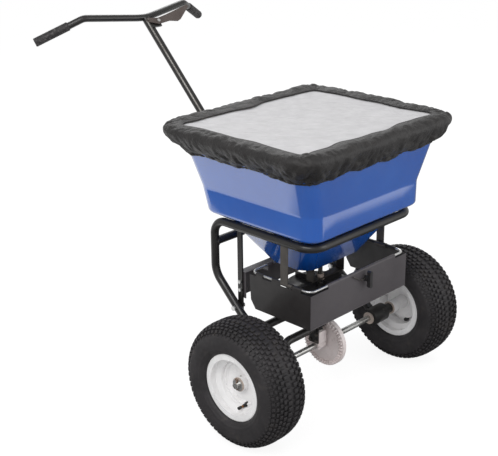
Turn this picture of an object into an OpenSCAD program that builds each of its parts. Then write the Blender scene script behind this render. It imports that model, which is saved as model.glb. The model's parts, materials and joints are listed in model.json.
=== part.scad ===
// Walk-behind salt spreader with a covered hopper, a deflector box and two pneumatic wheels.
// Lengths in millimetres. Inside the modules X points to the operator's left, Y to the rear from
// the axle and Z up from the ground; placed() then moves the origin under the middle of the part.

/* [Wheels] */
// Outer diameter of a tyre
tyre_d = 330; // [300:1:350]
// Width of a tyre
tyre_w = 125; // [110:1:135]
// Distance between the middle planes of the wheels
track_w = 644; // [636:1:680]
// Diameter over the rim flanges
flange_d = 176; // [170:1:186]
// Diameter of the bead seats
bead_d = 152; // [148:1:156]
// Width over the rim flanges
rim_w = 98; // [92:1:102]
// Thickness of the rim sheet
rim_t = 3; // [2:0.5:4]
// Outer diameter of a hub tube
hub_d = 38; // [34:1:44]
// Reach of a hub tube inwards from the wheel's middle plane
hub_in = 58; // [52:1:60]
// Reach of a hub tube outwards from the wheel's middle plane
hub_out = 22; // [18:1:30]
// Outer diameter of a hub bush
hub_bush_d = 28; // [24:1:30]

/* [Axle] */
// Diameter of the axle
axle_d = 16; // [14:1:18]
// Reach of the axle past a hub
axle_over = 14; // [12:1:20]
// Outer diameter of a bearing housing
housing_d = 50; // [44:1:54]
// Length of a bearing housing
housing_l = 60; // [50:1:64]
// Distance from the middle to the outer end of a housing
housing_end = 230; // [226:1:234]
// Diameter of the bearing bushes
bearing_bush_d = 22; // [20:1:26]
// Diameter of the axle spacers
spacer_d = 28; // [24:1:32]

/* [Drive] */
// Number of teeth on the drive gear
gear_teeth = 42; // [42:1:42]
// Number of teeth on the pinion
pinion_teeth = 10; // [10:1:10]
// Pitch radius of the drive gear
gear_pitch_r = 60; // [58:1:62]
// Radius of the drive gear's disc
gear_disc_r = 68; // [66:1:70]
// Thickness of the drive gear's disc
gear_t = 12; // [8:1:12]
// Place of the drive gear's toothed face across the machine
gear_face_x = -24; // [-26:1:-22]
// Thickness of a gear tooth at the pitch line
tooth_w = 3.1; // [2.8:0.1:3.3]
// Diameter of the upright spinner shaft
shaft_d = 12; // [10:1:13]
// Radius of the spinner disc
spinner_r = 90; // [80:1:92]
// Height of the spinner disc's underside
spinner_z = 332; // [328:1:334]
// Height of a spinner fin
fin_h = 14; // [10:1:16]
// Number of spinner fins
fin_n = 4; // [3:1:6]

/* [Frame] */
// Diameter of the frame tubes
tube_d = 22; // [20:1:24]
// Wall of the frame tubes
tube_wall = 2; // [1.5:0.5:3]
// Distance from the middle to the side tubes
ring_x = 197; // [196:1:200]
// Front of the hopper ring
ring_front = -106; // [-112:1:-104]
// Place of the rear uprights of the main tube
rear_y = 229; // [226:1:234]
// Height of the hopper ring
ring_z = 503; // [500:1:506]
// Height where the side tubes turn forward
knee_z = 355; // [350:1:360]
// Bend radius of the ring's front corners
ring_bend = 42; // [34:1:50]
// Height of the rear cross tube
cross_z = 440; // [436:1:446]
// Place of the lower cross tube
low_cross_y = 88; // [84:1:94]
// Thickness of the stand legs
leg_t = 5; // [4:1:6]
// Width of the stand legs
leg_w = 16; // [14:1:20]
// Place of the stand legs
leg_y = 150; // [148:1:154]

/* [Deflector box] */
// Distance from the middle to the deflector rod
rod_x = 188; // [187:0.5:189]
// Diameter of the deflector rod
rod_d = 6; // [5:0.5:6.5]
// Height of the deflector rod
rod_z = 387; // [385:1:389]
// Front of the deflector rod
rod_front = -95; // [-98:1:-92]
// Rear of the deflector rod
rod_rear = 106; // [102:1:110]
// Lower edge of the deflector panels
panel_z = 289; // [280:1:296]
// Thickness of the panel sheet
sheet_t = 1.5; // [1:0.25:2]
// Rear edge of the side panels
side_rear = 108; // [104:1:112]
// Upper edge of the rear panel
rear_panel_top = 373; // [370:1:374]
// Lower edge of the rear panel
rear_panel_z = 300; // [296:1:306]
// Width of the posts
post_w = 24; // [18:1:26]

/* [Hopper] */
// Half width of the hopper at the rim
rim_x = 290; // [286:1:292]
// Front of the hopper at the rim
rim_front = -164; // [-168:1:-162]
// Rear of the hopper at the rim
rim_rear = 324; // [320:1:326]
// Height of the hopper rim
rim_z = 752; // [748:1:756]
// Height of the widest part of the walls below the rim
wall_drop = 62; // [56:1:66]
// Wall of the hopper
hopper_wall = 3; // [2.5:0.5:4]
// Half width of the hopper's floor
floor_x = 115; // [112:1:118]
// Length of the outlet
outlet_l = 24; // [20:1:26]
// Width of the outlet
outlet_w = 40; // [30:1:44]
// Front edge of the outlet
outlet_front = 40; // [38:1:44]

/* [Cover] */
// Thickness of the cover's cloth
cloth_t = 2.5; // [2:0.5:3]
// Rise of the cover's top over its seat on the rim
cover_rise = 2.2; // [1:0.1:4]
// Depth of the skirt below the rim
hem_drop = 64; // [60:1:68]
// Depth of the folds in the elastic skirt
fold_depth = 5; // [3:0.5:6]

/* [Handle and control] */
// Rise of the handle post above the level, in degrees
handle_angle = 46.5; // [45:0.5:48]
// Length of the handle from the rear cross tube to the bar
handle_l = 692; // [660:1:720]
// Diameter of the handlebar
bar_d = 19.5; // [18:0.5:22]
// Half width between the bends of the handlebar
bar_bend_x = 185.5; // [180:0.5:190]
// Half width over the ends of the handlebar
bar_end_x = 304.6; // [300:0.5:310]
// Reach of the handlebar's bends behind its middle
bar_bend_back = 42.7; // [38:0.1:48]
// Rise of the handlebar's bends over its middle
bar_bend_rise = 17.5; // [14:0.5:22]
// Reach of the handlebar's ends behind its middle
bar_end_back = 107.4; // [102:0.1:112]
// Drop of the handlebar's ends below its middle
bar_end_drop = 39.9; // [36:0.1:44]
// Diameter of the grips
grip_d = 25; // [24:0.5:28]
// Length of the grips
grip_l = 100; // [90:1:110]
// Diameter of the control rod
control_d = 5; // [4:0.5:5]
// Travel of the gate
gate_travel = 26; // [24:1:26]
// Distance from the lever's pivot to the control rod
lever_arm = 34; // [32:1:36]
// Distance from the lever's pivot to the end of its handle
lever_reach = 140; // [120:1:150]
// Angle between the lever's handle and its arm
lever_crank = 25; // [15:1:26]

/* [Hidden] */

$fn = 48;
eps = 0.05;         // overlap of a cut past the surface that it opens
run_gap = 0.05;     // radial gap of a running fit
seat_gap = 0.1;     // gap between welded or bolted pieces
side_gap = 0.3;     // end play between turning pieces
bolt_gap = 0.2;     // gap of a bolt in its hole
bend_lap = 0.4;     // reach of a straight run into the bend that follows it
bend_proud = 0.05;  // rise of a bend over the straight runs

tyre_r = tyre_d / 2;
axle_z = tyre_r;
axle_r = axle_d / 2;
wheel_x = track_w / 2;
tube_r = tube_d / 2;
shaft_r = shaft_d / 2;
bar_r = bar_d / 2;
grip_r = grip_d / 2;
rod_r = rod_d / 2;
control_r = control_d / 2;

// Gear pair: the face gear turns on the axle, the pinion on the upright shaft
tooth_module = 2 * gear_pitch_r / gear_teeth;
pinion_pitch_r = tooth_module * pinion_teeth / 2;
tooth_top = tooth_module;
tooth_root = 1.25 * tooth_module;
pinion_r = pinion_pitch_r + tooth_top;
pinion_root_r = pinion_pitch_r - tooth_root;
pitch_x = gear_face_x - tooth_root;
shaft_x = pitch_x - pinion_pitch_r;
pinion_h = 10;
mesh_z = axle_z + gear_pitch_r;

// Foot bearing of the upright shaft, with the plate of the arm that holds it
foot_x1 = gear_face_x - tooth_root - tooth_top - 0.9;
foot_x0 = shaft_x - pinion_r - 2;
foot_y = 15;
foot_z1 = axle_z + 42;
foot_boss_r = 14;
arm_plate_t = 5;
arm_plate_z = axle_z + 12;
arm_z = axle_z + 53;

// Side tube: from the axle to a shallow bend, up to the knee and on to the ring
side_bend = [135, 262];
post_t = 3;
eye_r = rod_r + 3.1;
roll_r = rod_r + 0.5 + sheet_t;
panel_x = rod_x + roll_r;
flap_y = rod_front - roll_r;
flap_roll = [-126, 144];

// The gate slides in rails between the hopper's floor and the deflector rod
gate_t = 2;
rail_lip_t = 2;
rail_clear = 0.9;
floor_z = rod_z + rod_r + rail_clear + rail_lip_t + gate_t + 2 * side_gap;
gate_x = -8;
gate_w = outlet_w + 12;
gate_lap = 2;
gate_top = floor_z - side_gap;
floor_front = -18;
floor_rear = 125;

// Handle frame: X across, u along the post, v square to it on the hopper's side
handle_u = [0, cos(handle_angle), sin(handle_angle)];
handle_v = [0, -sin(handle_angle), cos(handle_angle)];
handle_foot = [0, rear_y, cross_z];
rod_v = tube_r + control_r + 0.7;
lever_half = asin(gate_travel * cos(handle_angle) / 2 / lever_arm);
pivot_u = handle_l - 28;
pivot_x = 20;
lever_v = rod_v + control_r + 0.4;
lever_t = 2.5;
eye_u = pivot_u + lever_arm * sin(lever_half);
rod_pin_x = pivot_x - lever_arm * (1 + cos(lever_half)) / 2;
gate_pin_z = floor_z + 5;
gate_pin_u = (gate_pin_z - cross_z - rod_v * cos(handle_angle)) / sin(handle_angle);
gate_pin_y = rear_y + gate_pin_u * cos(handle_angle) - rod_v * sin(handle_angle);
handle_top = handle_foot + handle_l * handle_u;
bar_bend = handle_top + [bar_bend_x, bar_bend_back, bar_bend_rise];
bar_end = handle_top + [bar_end_x, bar_end_back, -bar_end_drop];
bar_dir = (bar_end - bar_bend) / norm(bar_end - bar_bend);
grip_end = bar_end + 3 * bar_dir;

// The hopper's shelf slopes out over the ring and rests on it
shelf_in = 14;
shelf_out = 19;
shelf_rise = 20.5;
shelf_w = shelf_in + shelf_out;
shelf_slope = shelf_rise / shelf_w;
shelf_z = ring_z + (tube_r + side_gap) * norm([1, shelf_slope]) - shelf_in * shelf_slope;

// Hopper outlines from the floor up: half width, front, rear, corner radius, height
hopper_levels = [
    [floor_x, floor_front, floor_rear, 40, floor_z],
    [ring_x - shelf_in, ring_front + shelf_in, 222, 44, shelf_z],
    [ring_x + shelf_out, ring_front - shelf_out, 254, 40, shelf_z + shelf_rise],
    [217, -126, 274, 42, 590],
    [254, -141, 284, 44, rim_z - wall_drop],
    [rim_x - 22, -149, rim_rear - 20, 48, rim_z - 12],
    [rim_x, rim_front, rim_rear, 60, rim_z - 8]
];
cover_hang = 12;
cover_z = rim_z + side_gap + cloth_t + cover_rise;
cover_x = rim_x + cover_hang;
cover_front = rim_front - cover_hang;
cover_rear = rim_rear + cover_hang;
window_x = 255;
window_front = -128;
window_rear = 283;
window_corner = 20;

// The origin is under the middle of the whole part
back_end = grip_end[1] + grip_r * sqrt(1 - bar_dir[1] * bar_dir[1]);
middle_y = (cover_front + back_end) / 2;

function unit(v) = v / norm(v);

// A square frame whose Z points along d
function axes_along(d, at) =
    let (u = unit(abs(d[2]) < 0.9 ? cross(d, [0, 0, 1]) : cross(d, [1, 0, 0])), v = cross(d, u))
    [[u[0], v[0], d[0], at[0]], [u[1], v[1], d[1], at[1]], [u[2], v[2], d[2], at[2]], [0, 0, 0, 1]];

// Closed outline of a rounded rectangle with the same number of points at every size
function outline(level, side_n, corner_n) =
    let (x = level[0], front = level[1], rear = level[2], r = level[3])
    [for (q = [0:3]) let (
            sx = [1, -1, -1, 1][q],
            cy = [rear - r, rear - r, front + r, front + r][q],
            nx = [-1, -1, 1, 1][q] * (x - r),
            ny = [rear - r, front + r, front + r, rear - r][q],
            end = [sx * (x - r) + r * cos(90 * q + 90), cy + r * sin(90 * q + 90)],
            next = [nx + r * cos(90 * q + 90), ny + r * sin(90 * q + 90)])
        each concat(
            [for (i = [0:corner_n]) [
                sx * (x - r) + r * cos(90 * q + 90 * i / corner_n),
                cy + r * sin(90 * q + 90 * i / corner_n)]],
            [for (i = [1:side_n]) if (i < side_n) end + (next - end) * i / side_n])];

// Points of stacked outlines, each at its own height
function stacked(levels, side_n, corner_n) =
    [for (level = levels) each [for (p = outline(level, side_n, corner_n)) [p[0], p[1], level[4]]]];

// Triangles between outline rows; closed joins the last row to the first
function skin(rows, n, closed) =
    [for (k = [0:rows - (closed ? 1 : 2)]) each [for (i = [0:n - 1]) let (
            a = k * n + i, b = k * n + (i + 1) % n,
            c = ((k + 1) % rows) * n + i, d = ((k + 1) % rows) * n + (i + 1) % n)
        each [[a, c, b], [b, c, d]]]];

// Flat face over an outline row, fanned round the point at its middle
function cap(row, n, middle, up) =
    [for (i = [0:n - 1]) let (a = row * n + i, b = row * n + (i + 1) % n)
        up ? [b, a, middle] : [a, b, middle]];

// Middle of an outline
function middle_of(level) = [0, (level[1] + level[2]) / 2, level[4]];

// Solid between stacked outlines, closed by a flat face at either end
module lofted(levels, side_n, corner_n) {
    n = 4 * (side_n + corner_n);
    rows = len(levels);
    polyhedron(
        points = concat(
            stacked(levels, side_n, corner_n),
            [middle_of(levels[0]), middle_of(levels[rows - 1])]),
        faces = concat(
            skin(rows, n, false),
            cap(0, n, rows * n, false),
            cap(rows - 1, n, rows * n + 1, true)));
}

// A level moved inwards by a wall
function inset(level, wall) =
    [level[0] - wall, level[1] + wall, level[2] - wall, max(level[3] - wall, 4), level[4]];

function lowered(level, drop) = [level[0], level[1], level[2], level[3], level[4] - drop];

module placed() {
    translate([0, -middle_y, 0]) children();
}

// Draws a left-hand piece on either side of the machine
module on_side(side) {
    if (side > 0) children();
    else mirror([1, 0, 0]) children();
}

module on_both_sides() {
    for (side = [-1, 1]) on_side(side) children();
}

// Turns a shape that stands on Z to lie along the axle
module along_axle(x) {
    translate([x, 0, axle_z]) rotate([0, 90, 0]) children();
}

module in_handle_frame() {
    multmatrix([
        [1, handle_u[0], handle_v[0], handle_foot[0]],
        [0, handle_u[1], handle_v[1], handle_foot[1]],
        [0, handle_u[2], handle_v[2], handle_foot[2]],
        [0, 0, 0, 1]]) children();
}

// Round bars across and along the machine with their middle at a point
module bar_across(at, r, h) {
    translate(at) rotate([0, 90, 0]) cylinder(r = r, h = h, center = true);
}

module bar_back(at, r, h) {
    translate(at) rotate([90, 0, 0]) cylinder(r = r, h = h, center = true);
}

// Block between two corners
module block(from, to) {
    translate(from) cube(to - from);
}

module ring(outer, inner, h) {
    difference() {
        cylinder(r = outer, h = h);
        translate([0, 0, -1]) cylinder(r = inner, h = h + 2);
    }
}

// A round bar or tube along a path, with bends of the given radii at its inner points. Each bend
// stands a hair proud of the straight runs that reach into it
module bent_tube(path, bends, r, wall) {
    last = len(path) - 1;
    dirs = [for (i = [0:last - 1]) unit(path[i + 1] - path[i])];
    turns = [for (i = [1:last - 1]) acos(dirs[i - 1] * dirs[i])];
    backs = concat([0], [for (i = [1:last - 1]) bends[i - 1] * tan(turns[i - 1] / 2)], [0]);
    for (i = [0:last - 1]) {
        from = backs[i] - (i > 0 ? bend_lap : 0);
        to = norm(path[i + 1] - path[i]) - backs[i + 1] + (i < last - 1 ? bend_lap : 0);
        multmatrix(axes_along(dirs[i], path[i] + from * dirs[i])) tube_section(r, wall, to - from);
    }
    for (i = [1:last - 1]) {
        d = dirs[i - 1];
        n = unit(dirs[i] - (dirs[i] * d) * d);
        z = cross(-n, d);
        c = path[i] - backs[i] * d + bends[i - 1] * n;
        multmatrix([
            [-n[0], d[0], z[0], c[0]],
            [-n[1], d[1], z[1], c[1]],
            [-n[2], d[2], z[2], c[2]],
            [0, 0, 0, 1]
        ]) rotate_extrude(angle = turns[i - 1]) translate([bends[i - 1], 0]) difference() {
            circle(r = r + bend_proud);
            if (wall < r) circle(r = r - wall - bend_proud);
        }
    }
}

module tube_section(r, wall, h) {
    difference() {
        cylinder(r = r, h = h);
        if (wall < r) translate([0, 0, -1]) cylinder(r = r - wall, h = h + 2);
    }
}

module bent_bar(path, bends, r) {
    bent_tube(path, bends, r, r);
}

// Hexagon bolt along Z: head above z = 0, shank below, nut at the given depth
module bolt(d, grip, nut = true) {
    cylinder(r = 0.9 * d, h = 0.65 * d, $fn = 6);
    translate([0, 0, -grip - (nut ? 0.9 * d : 0)]) cylinder(r = d / 2, h = grip + (nut ? 0.9 * d : 0) + eps);
    if (nut) translate([0, 0, -grip - 0.8 * d]) cylinder(r = 0.9 * d, h = 0.8 * d, $fn = 6);
}

// Wheels

wide_r = (tyre_r + bead_d / 2) / 2;
tread_t = 14;
side_t = 8;
flange_foot_r = flange_d / 2 + 1;
bead_foot_t = 5;
toe_l = 12;

// Points of a sidewall from its widest place down to a foot
function sidewall(wide, foot, foot_h) =
    [for (a = [15:15:90]) [
        wide_r - (wide_r - foot) * sin(a),
        foot_h + (wide - foot_h) * cos(a)]];

function tyre_outside() = concat(
    [for (a = [0:7.5:180]) let (c = cos(a), s = sin(a)) [
        wide_r + (tyre_r - wide_r) * pow(s, 0.72), tyre_w / 2 * sign(c) * pow(abs(c), 0.72)]],
    mirrored(sidewall(tyre_w / 2, flange_foot_r, rim_w / 2 - rim_t)));

function mirrored(points) = [for (p = points) [p[0], -p[1]]];

function backwards(points) = [for (i = [len(points) - 1:-1:0]) points[i]];

module tyre() {
    bead_h = rim_w / 2 - rim_t - side_gap;
    bead_r = bead_d / 2 + seat_gap;
    inner_h = tyre_w / 2 - side_t;
    outer_side = sidewall(tyre_w / 2, flange_foot_r, rim_w / 2 - rim_t);
    inner_side = sidewall(inner_h, flange_foot_r, bead_h - bead_foot_t);
    crown = [for (a = [180:-7.5:0]) let (c = cos(a), s = sin(a)) [
        wide_r + (tyre_r - tread_t - wide_r) * pow(s, 0.72), inner_h * sign(c) * pow(abs(c), 0.72)]];
    bead = [[bead_r, bead_h - toe_l], [bead_r, bead_h], [flange_foot_r, bead_h]];
    rotate_extrude($fn = 96) polygon(concat(
        tyre_outside(),
        mirrored(backwards(bead)),
        mirrored(backwards(inner_side)),
        crown,
        inner_side,
        bead,
        backwards(outer_side)));
}

module rim() {
    flange_r = flange_d / 2;
    seat_r = bead_d / 2;
    well_r = seat_r - 12;
    h = rim_w / 2;
    dish_r = well_r - rim_t;
    half = [
        [seat_r - rim_t, h], [flange_r - 2, h], [flange_r, h - 1], [flange_r, h - rim_t],
        [seat_r, h - rim_t], [seat_r, h - 18], [well_r, h - 26]];
    back = [[seat_r - rim_t, h - 17], [dish_r, h - 25]];
    difference() {
        union() {
            rotate_extrude($fn = 96) polygon(concat(
                half,
                [for (i = [len(half) - 1:-1:0]) [half[i][0], -half[i][1]]],
                [for (p = back) [p[0], -p[1]]],
                [for (i = [len(back) - 1:-1:0]) back[i]]));
            rotate_extrude($fn = 96) polygon([
                [dish_r + 1, 13], [dish_r - 6, 15], [52, 4 + rim_t], [hub_d / 2 - 1, 4 + rim_t],
                [hub_d / 2 - 1, 4], [52, 4], [dish_r - 6, 12], [dish_r + 1, 10]]);
            translate([0, 0, -hub_in]) ring(hub_d / 2, hub_bush_d / 2 + seat_gap, hub_in + hub_out);
        }
        rotate([0, 0, stem_turn]) translate([stem_r, 0, 0]) cylinder(r = 6 + seat_gap, h = 30);
        translate([0, 0, pin_h]) rotate([0, 90, 0]) cylinder(r = pin_r + bolt_gap, h = 60, center = true);
    }
}

stem_r = 57;
stem_turn = -15;
pin_h = 15;
pin_r = 2.5;

module tyre_at(side) {
    color([0.2, 0.19, 0.2]) on_side(side) along_axle(wheel_x) tyre();
}

module rim_at(side) {
    color([0.93, 0.93, 0.94]) on_side(side) along_axle(wheel_x) rim();
}

module right_tyre() { tyre_at(-1); }
module left_tyre() { tyre_at(1); }
module right_rim() { rim_at(-1); }
module left_rim() { rim_at(1); }

// Two flanged bushes in a hub tube, the outer one drilled for the drive pin on the right
module hub_bushes(side) {
    bush_l = 27;
    color([0.75, 0.72, 0.66]) on_side(side) along_axle(wheel_x) difference() {
        for (end = [-1, 1]) translate([0, 0, end > 0 ? hub_out : -hub_in]) mirror([0, 0, end > 0 ? 0 : 1]) {
            translate([0, 0, -bush_l]) ring(hub_bush_d / 2, axle_r + run_gap, bush_l + eps);
            ring(hub_d / 2 - 1, axle_r + run_gap, 3);
        }
        translate([0, 0, pin_h]) rotate([0, 90, 0]) cylinder(r = pin_r + bolt_gap, h = 60, center = true);
    }
}

module right_hub_bushes() { hub_bushes(-1); }
module left_hub_bushes() { hub_bushes(1); }

// Valve stem through the dish, with its cap
module valve_stem(side) {
    on_side(side) along_axle(wheel_x) rotate([0, 0, stem_turn]) translate([stem_r, 0, 0]) {
        color("black") translate([0, 0, 1]) cylinder(r = 6, h = 12);
        color("black") translate([0, 0, 13 - eps]) cylinder(r1 = 5, r2 = 3.4, h = 12);
        color("goldenrod") translate([0, 0, 25 - 2 * eps]) cylinder(r = 2.6, h = 6);
        color("black") translate([0, 0, 31 - 3 * eps]) cylinder(r = 4, h = 9);
    }
}

module right_valve_stem() { valve_stem(-1); }
module left_valve_stem() { valve_stem(1); }

// Axle with its pins, washers and spacers

axle_end = wheel_x + hub_out + axle_over;
cotter_x = axle_end - 6;
gear_pin_x = gear_face_x + gear_t + 12;

module axle() {
    color([0.78, 0.78, 0.76]) difference() {
        along_axle(-axle_end) cylinder(r = axle_r, h = 2 * axle_end);
        drive_pin_bar(pin_r + bolt_gap, 40);
        translate([gear_pin_x, 0, axle_z]) cylinder(r = pin_r + bolt_gap, h = 40, center = true);
        for (x = [-cotter_x, cotter_x]) translate([x, 0, axle_z]) cylinder(r = 1.8, h = 40, center = true);
    }
}

module axle_spacers() {
    from = housing_end + 3 + side_gap;
    to = wheel_x - hub_in - 3 - side_gap;
    color([0.15, 0.15, 0.15]) on_both_sides() along_axle(from)
        ring(spacer_d / 2, axle_r + run_gap, to - from);
}

module axle_washers() {
    color("silver") on_both_sides() along_axle(wheel_x + hub_out + 3 + side_gap)
        ring(axle_d, axle_r + seat_gap, 2);
}

module cotter_pins() {
    color([0.6, 0.5, 0.42]) on_both_sides() translate([cotter_x, 0, axle_z]) {
        translate([0, 0, -axle_r - 5]) cylinder(r = 1.6, h = 2 * axle_r + 10);
        translate([0, 0, axle_r + 7]) rotate([0, 90, 0]) rotate_extrude() translate([3.2, 0]) circle(r = 1.2);
    }
}

// Upright bar through the right hub, for its drive pin and the hole in the axle
module drive_pin_bar(r, h) {
    translate([-wheel_x - pin_h, 0, axle_z]) cylinder(r = r, h = h, center = true);
}

module wheel_drive_pin() {
    color("silver") drive_pin_bar(pin_r, hub_d + 6);
}

// Drive gear and pinion

// Cross section of a straight-sided tooth: width across, height outwards from its root
module tooth_profile(root_h, top_h) {
    slope = tan(20);
    root_w = tooth_w / 2 + root_h * slope;
    top_w = tooth_w / 2 - top_h * slope;
    polygon([[-root_w, -root_h], [root_w, -root_h], [top_w, top_h], [-top_w, top_h]]);
}

module drive_gear() {
    hub_r = 16;
    tooth_l = 10;
    color([0.83, 0.77, 0.75]) difference() {
        union() {
            along_axle(gear_face_x) cylinder(r = gear_disc_r, h = gear_t, $fn = 96);
            along_axle(gear_face_x + gear_t - eps) cylinder(r = hub_r, h = 24 + eps);
            for (i = [0:gear_teeth - 1]) translate([pitch_x, 0, axle_z]) rotate([i * 360 / gear_teeth, 0, 0])
                translate([0, 0, gear_pitch_r - tooth_l / 2]) rotate([0, 0, 90]) linear_extrude(tooth_l)
                    tooth_profile(tooth_root + eps, tooth_top);
        }
        along_axle(gear_face_x - 10) cylinder(r = axle_r + run_gap, h = 60);
        translate([gear_pin_x, 0, axle_z]) cylinder(r = pin_r + bolt_gap, h = 60, center = true);
        along_axle(gear_face_x + gear_t - 6) ring(gear_disc_r - 7, hub_r + 8, 10);
    }
}

module gear_pin() {
    color("silver") translate([gear_pin_x, 0, axle_z]) cylinder(r = pin_r, h = 36, center = true);
}

pin_pinion_z = mesh_z - 10;
pin_disc_z = spinner_z - 9;
shaft_pin_r = 2;

module pinion() {
    hub_r = 9.5;
    hub_z = foot_z1 + 3;
    color([0.25, 0.25, 0.26]) difference() {
        translate([shaft_x, 0, 0]) union() {
            translate([0, 0, mesh_z - pinion_h / 2]) {
                cylinder(r = pinion_root_r, h = pinion_h);
                for (i = [0:pinion_teeth - 1])
                    rotate([0, 0, (i + 0.5) * 360 / pinion_teeth - 90]) linear_extrude(pinion_h)
                        translate([0, pinion_pitch_r]) tooth_profile(tooth_root + 1, tooth_top);
            }
            translate([0, 0, hub_z]) cylinder(r = hub_r, h = mesh_z - pinion_h / 2 - hub_z + eps);
        }
        translate([shaft_x, 0, mesh_z - 40]) cylinder(r = shaft_r + run_gap, h = 80);
        bar_back([shaft_x, 0, pin_pinion_z], shaft_pin_r + seat_gap, 40);
    }
}

// Upright shaft and what it carries

agitator_z = floor_z + hopper_wall + 5;
shaft_foot = axle_z + axle_r + 7;
shaft_top = agitator_z + 16;

module spinner_shaft() {
    color([0.78, 0.78, 0.76]) difference() {
        translate([shaft_x, 0, shaft_foot]) cylinder(r = shaft_r, h = shaft_top - shaft_foot);
        for (z = [pin_pinion_z, pin_disc_z, agitator_z + 6])
            bar_back([shaft_x, 0, z], shaft_pin_r + seat_gap, 40);
    }
}

module thrust_washer() {
    color("silver") translate([shaft_x, 0, foot_z1 + side_gap]) ring(11, shaft_r + seat_gap, 2);
}

module shaft_pins() {
    color("silver") {
        bar_back([shaft_x, 0, pin_pinion_z], shaft_pin_r, 22);
        bar_back([shaft_x, 0, pin_disc_z], shaft_pin_r, 32);
        bar_back([shaft_x, 0, agitator_z + 6], shaft_pin_r, 24);
    }
}

module spinner_disc() {
    hub_r = 14;
    disc_t = 4;
    color([0.16, 0.16, 0.17]) difference() {
        translate([shaft_x, 0, 0]) {
            translate([0, 0, spinner_z]) cylinder(r = spinner_r, h = disc_t, $fn = 96);
            translate([0, 0, spinner_z - 18]) cylinder(r = hub_r, h = 18 + disc_t + 6);
            for (i = [0:fin_n - 1]) rotate([0, 0, i * 360 / fin_n])
                translate([hub_r - 1, -1.5, spinner_z + disc_t - eps])
                    cube([spinner_r - hub_r - 3, 3, fin_h]);
        }
        translate([shaft_x, 0, spinner_z - 30]) cylinder(r = shaft_r + run_gap, h = 70);
        bar_back([shaft_x, 0, pin_disc_z], shaft_pin_r + seat_gap, 40);
    }
}

module agitator() {
    hub_r = 10;
    color([0.16, 0.16, 0.17]) difference() {
        translate([shaft_x, 0, agitator_z]) {
            cylinder(r = hub_r, h = 12);
            for (side = [-1, 1]) {
                translate([0, side * (hub_r + 1), 6]) cylinder(r = 2.5, h = 40);
                translate([0, side * (hub_r - 1), 10]) rotate([-90 * side, 0, 0]) cylinder(r = 2, h = 2.5);
            }
        }
        translate([shaft_x, 0, agitator_z - 5]) cylinder(r = shaft_r + run_gap, h = 40);
        bar_back([shaft_x, 0, agitator_z + 6], shaft_pin_r + seat_gap, 40);
    }
}

// Frame

function side_path(side) = [
    [side * ring_x, 0.1, axle_z + 0.1 * (side_bend[1] - axle_z) / side_bend[0]],
    [side * ring_x, side_bend[0], side_bend[1]],
    [side * ring_x, rear_y, knee_z],
    [side * ring_x, rear_y, ring_z],
    [side * ring_x, ring_front, ring_z]
];
tube_path = concat(side_path(-1), [for (i = [4:-1:0]) side_path(1)[i]]);
tube_bends = [160, 60, 40, ring_bend, ring_bend, 40, 60, 160];

module housing_space() {
    along_axle(-wheel_x) cylinder(r = housing_d / 2 + seat_gap, h = 2 * wheel_x);
}

module main_frame_tube() {
    color([0.13, 0.13, 0.13]) difference() {
        bent_tube(tube_path, tube_bends, tube_r, tube_wall);
        housing_space();
        bar_across([0, leg_y, leg_bolt_z], 4 + bolt_gap, 500);
    }
}

knee_slope = (knee_z - side_bend[1]) / (rear_y - side_bend[0]);
leg_bolt_z = side_bend[1] + (leg_y - side_bend[0]) * knee_slope;
low_cross_z = axle_z + low_cross_y * (side_bend[1] - axle_z) / side_bend[0];

// A tube across the machine whose ends are shaped to the side tubes
module cross_tube(y, z) {
    difference() {
        translate([-ring_x, y, z]) rotate([0, 90, 0]) difference() {
            cylinder(r = tube_r, h = 2 * ring_x);
            translate([0, 0, -1]) cylinder(r = tube_r - tube_wall, h = 2 * ring_x + 2);
        }
        bent_bar(tube_path, tube_bends, tube_r + seat_gap);
    }
}

module rear_cross_tube() {
    color([0.13, 0.13, 0.13]) cross_tube(rear_y, cross_z);
}

module lower_cross_tube() {
    color([0.13, 0.13, 0.13]) cross_tube(low_cross_y, low_cross_z);
}

// Housings carry the axle in flanged bushes
module bearing_housings() {
    color([0.13, 0.13, 0.13]) on_both_sides() along_axle(housing_end - housing_l)
        ring(housing_d / 2, bearing_bush_d / 2 + seat_gap, housing_l);
}

module bearing_bushes() {
    bush_l = 24;
    inner_end = housing_end - housing_l;
    color([0.85, 0.83, 0.78]) on_both_sides() for (end = [0, 1])
        translate([end * (inner_end + housing_end), 0, 0]) mirror([end, 0, 0]) along_axle(inner_end) {
            translate([0, 0, -3]) ring(housing_d / 2 - 8, axle_r + run_gap, 3);
            translate([0, 0, -eps]) ring(bearing_bush_d / 2, axle_r + run_gap, bush_l);
        }
}

// Arm from the right housing whose plate keeps the foot bearing from turning with the axle
arm_x = ring_x - 11;

module gearbox_arm() {
    plate_x = foot_x0 - arm_plate_t;
    path = [[-arm_x, 0, axle_z], [-arm_x, 0, arm_z], [plate_x + 1, 0, arm_z]];
    color([0.13, 0.13, 0.13]) difference() {
        union() {
            difference() {
                bent_tube(path, [30], tube_r, tube_wall);
                housing_space();
            }
            block([plate_x, -foot_y, arm_plate_z], [foot_x0, foot_y, arm_z + tube_r]);
        }
        gearbox_bolt_places() translate([0, 0, -30]) cylinder(r = 2.5 + bolt_gap, h = 60);
    }
}

module gearbox_bolt_places() {
    for (y = [-10.5, 10.5], z = [arm_plate_z + 7, foot_z1 - 5])
        translate([foot_x0 - arm_plate_t, y, z]) rotate([0, -90, 0]) children();
}

module gearbox_bolts() {
    color("silver") gearbox_bolt_places() translate([0, 0, seat_gap]) bolt(5, 17, false);
}

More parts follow.
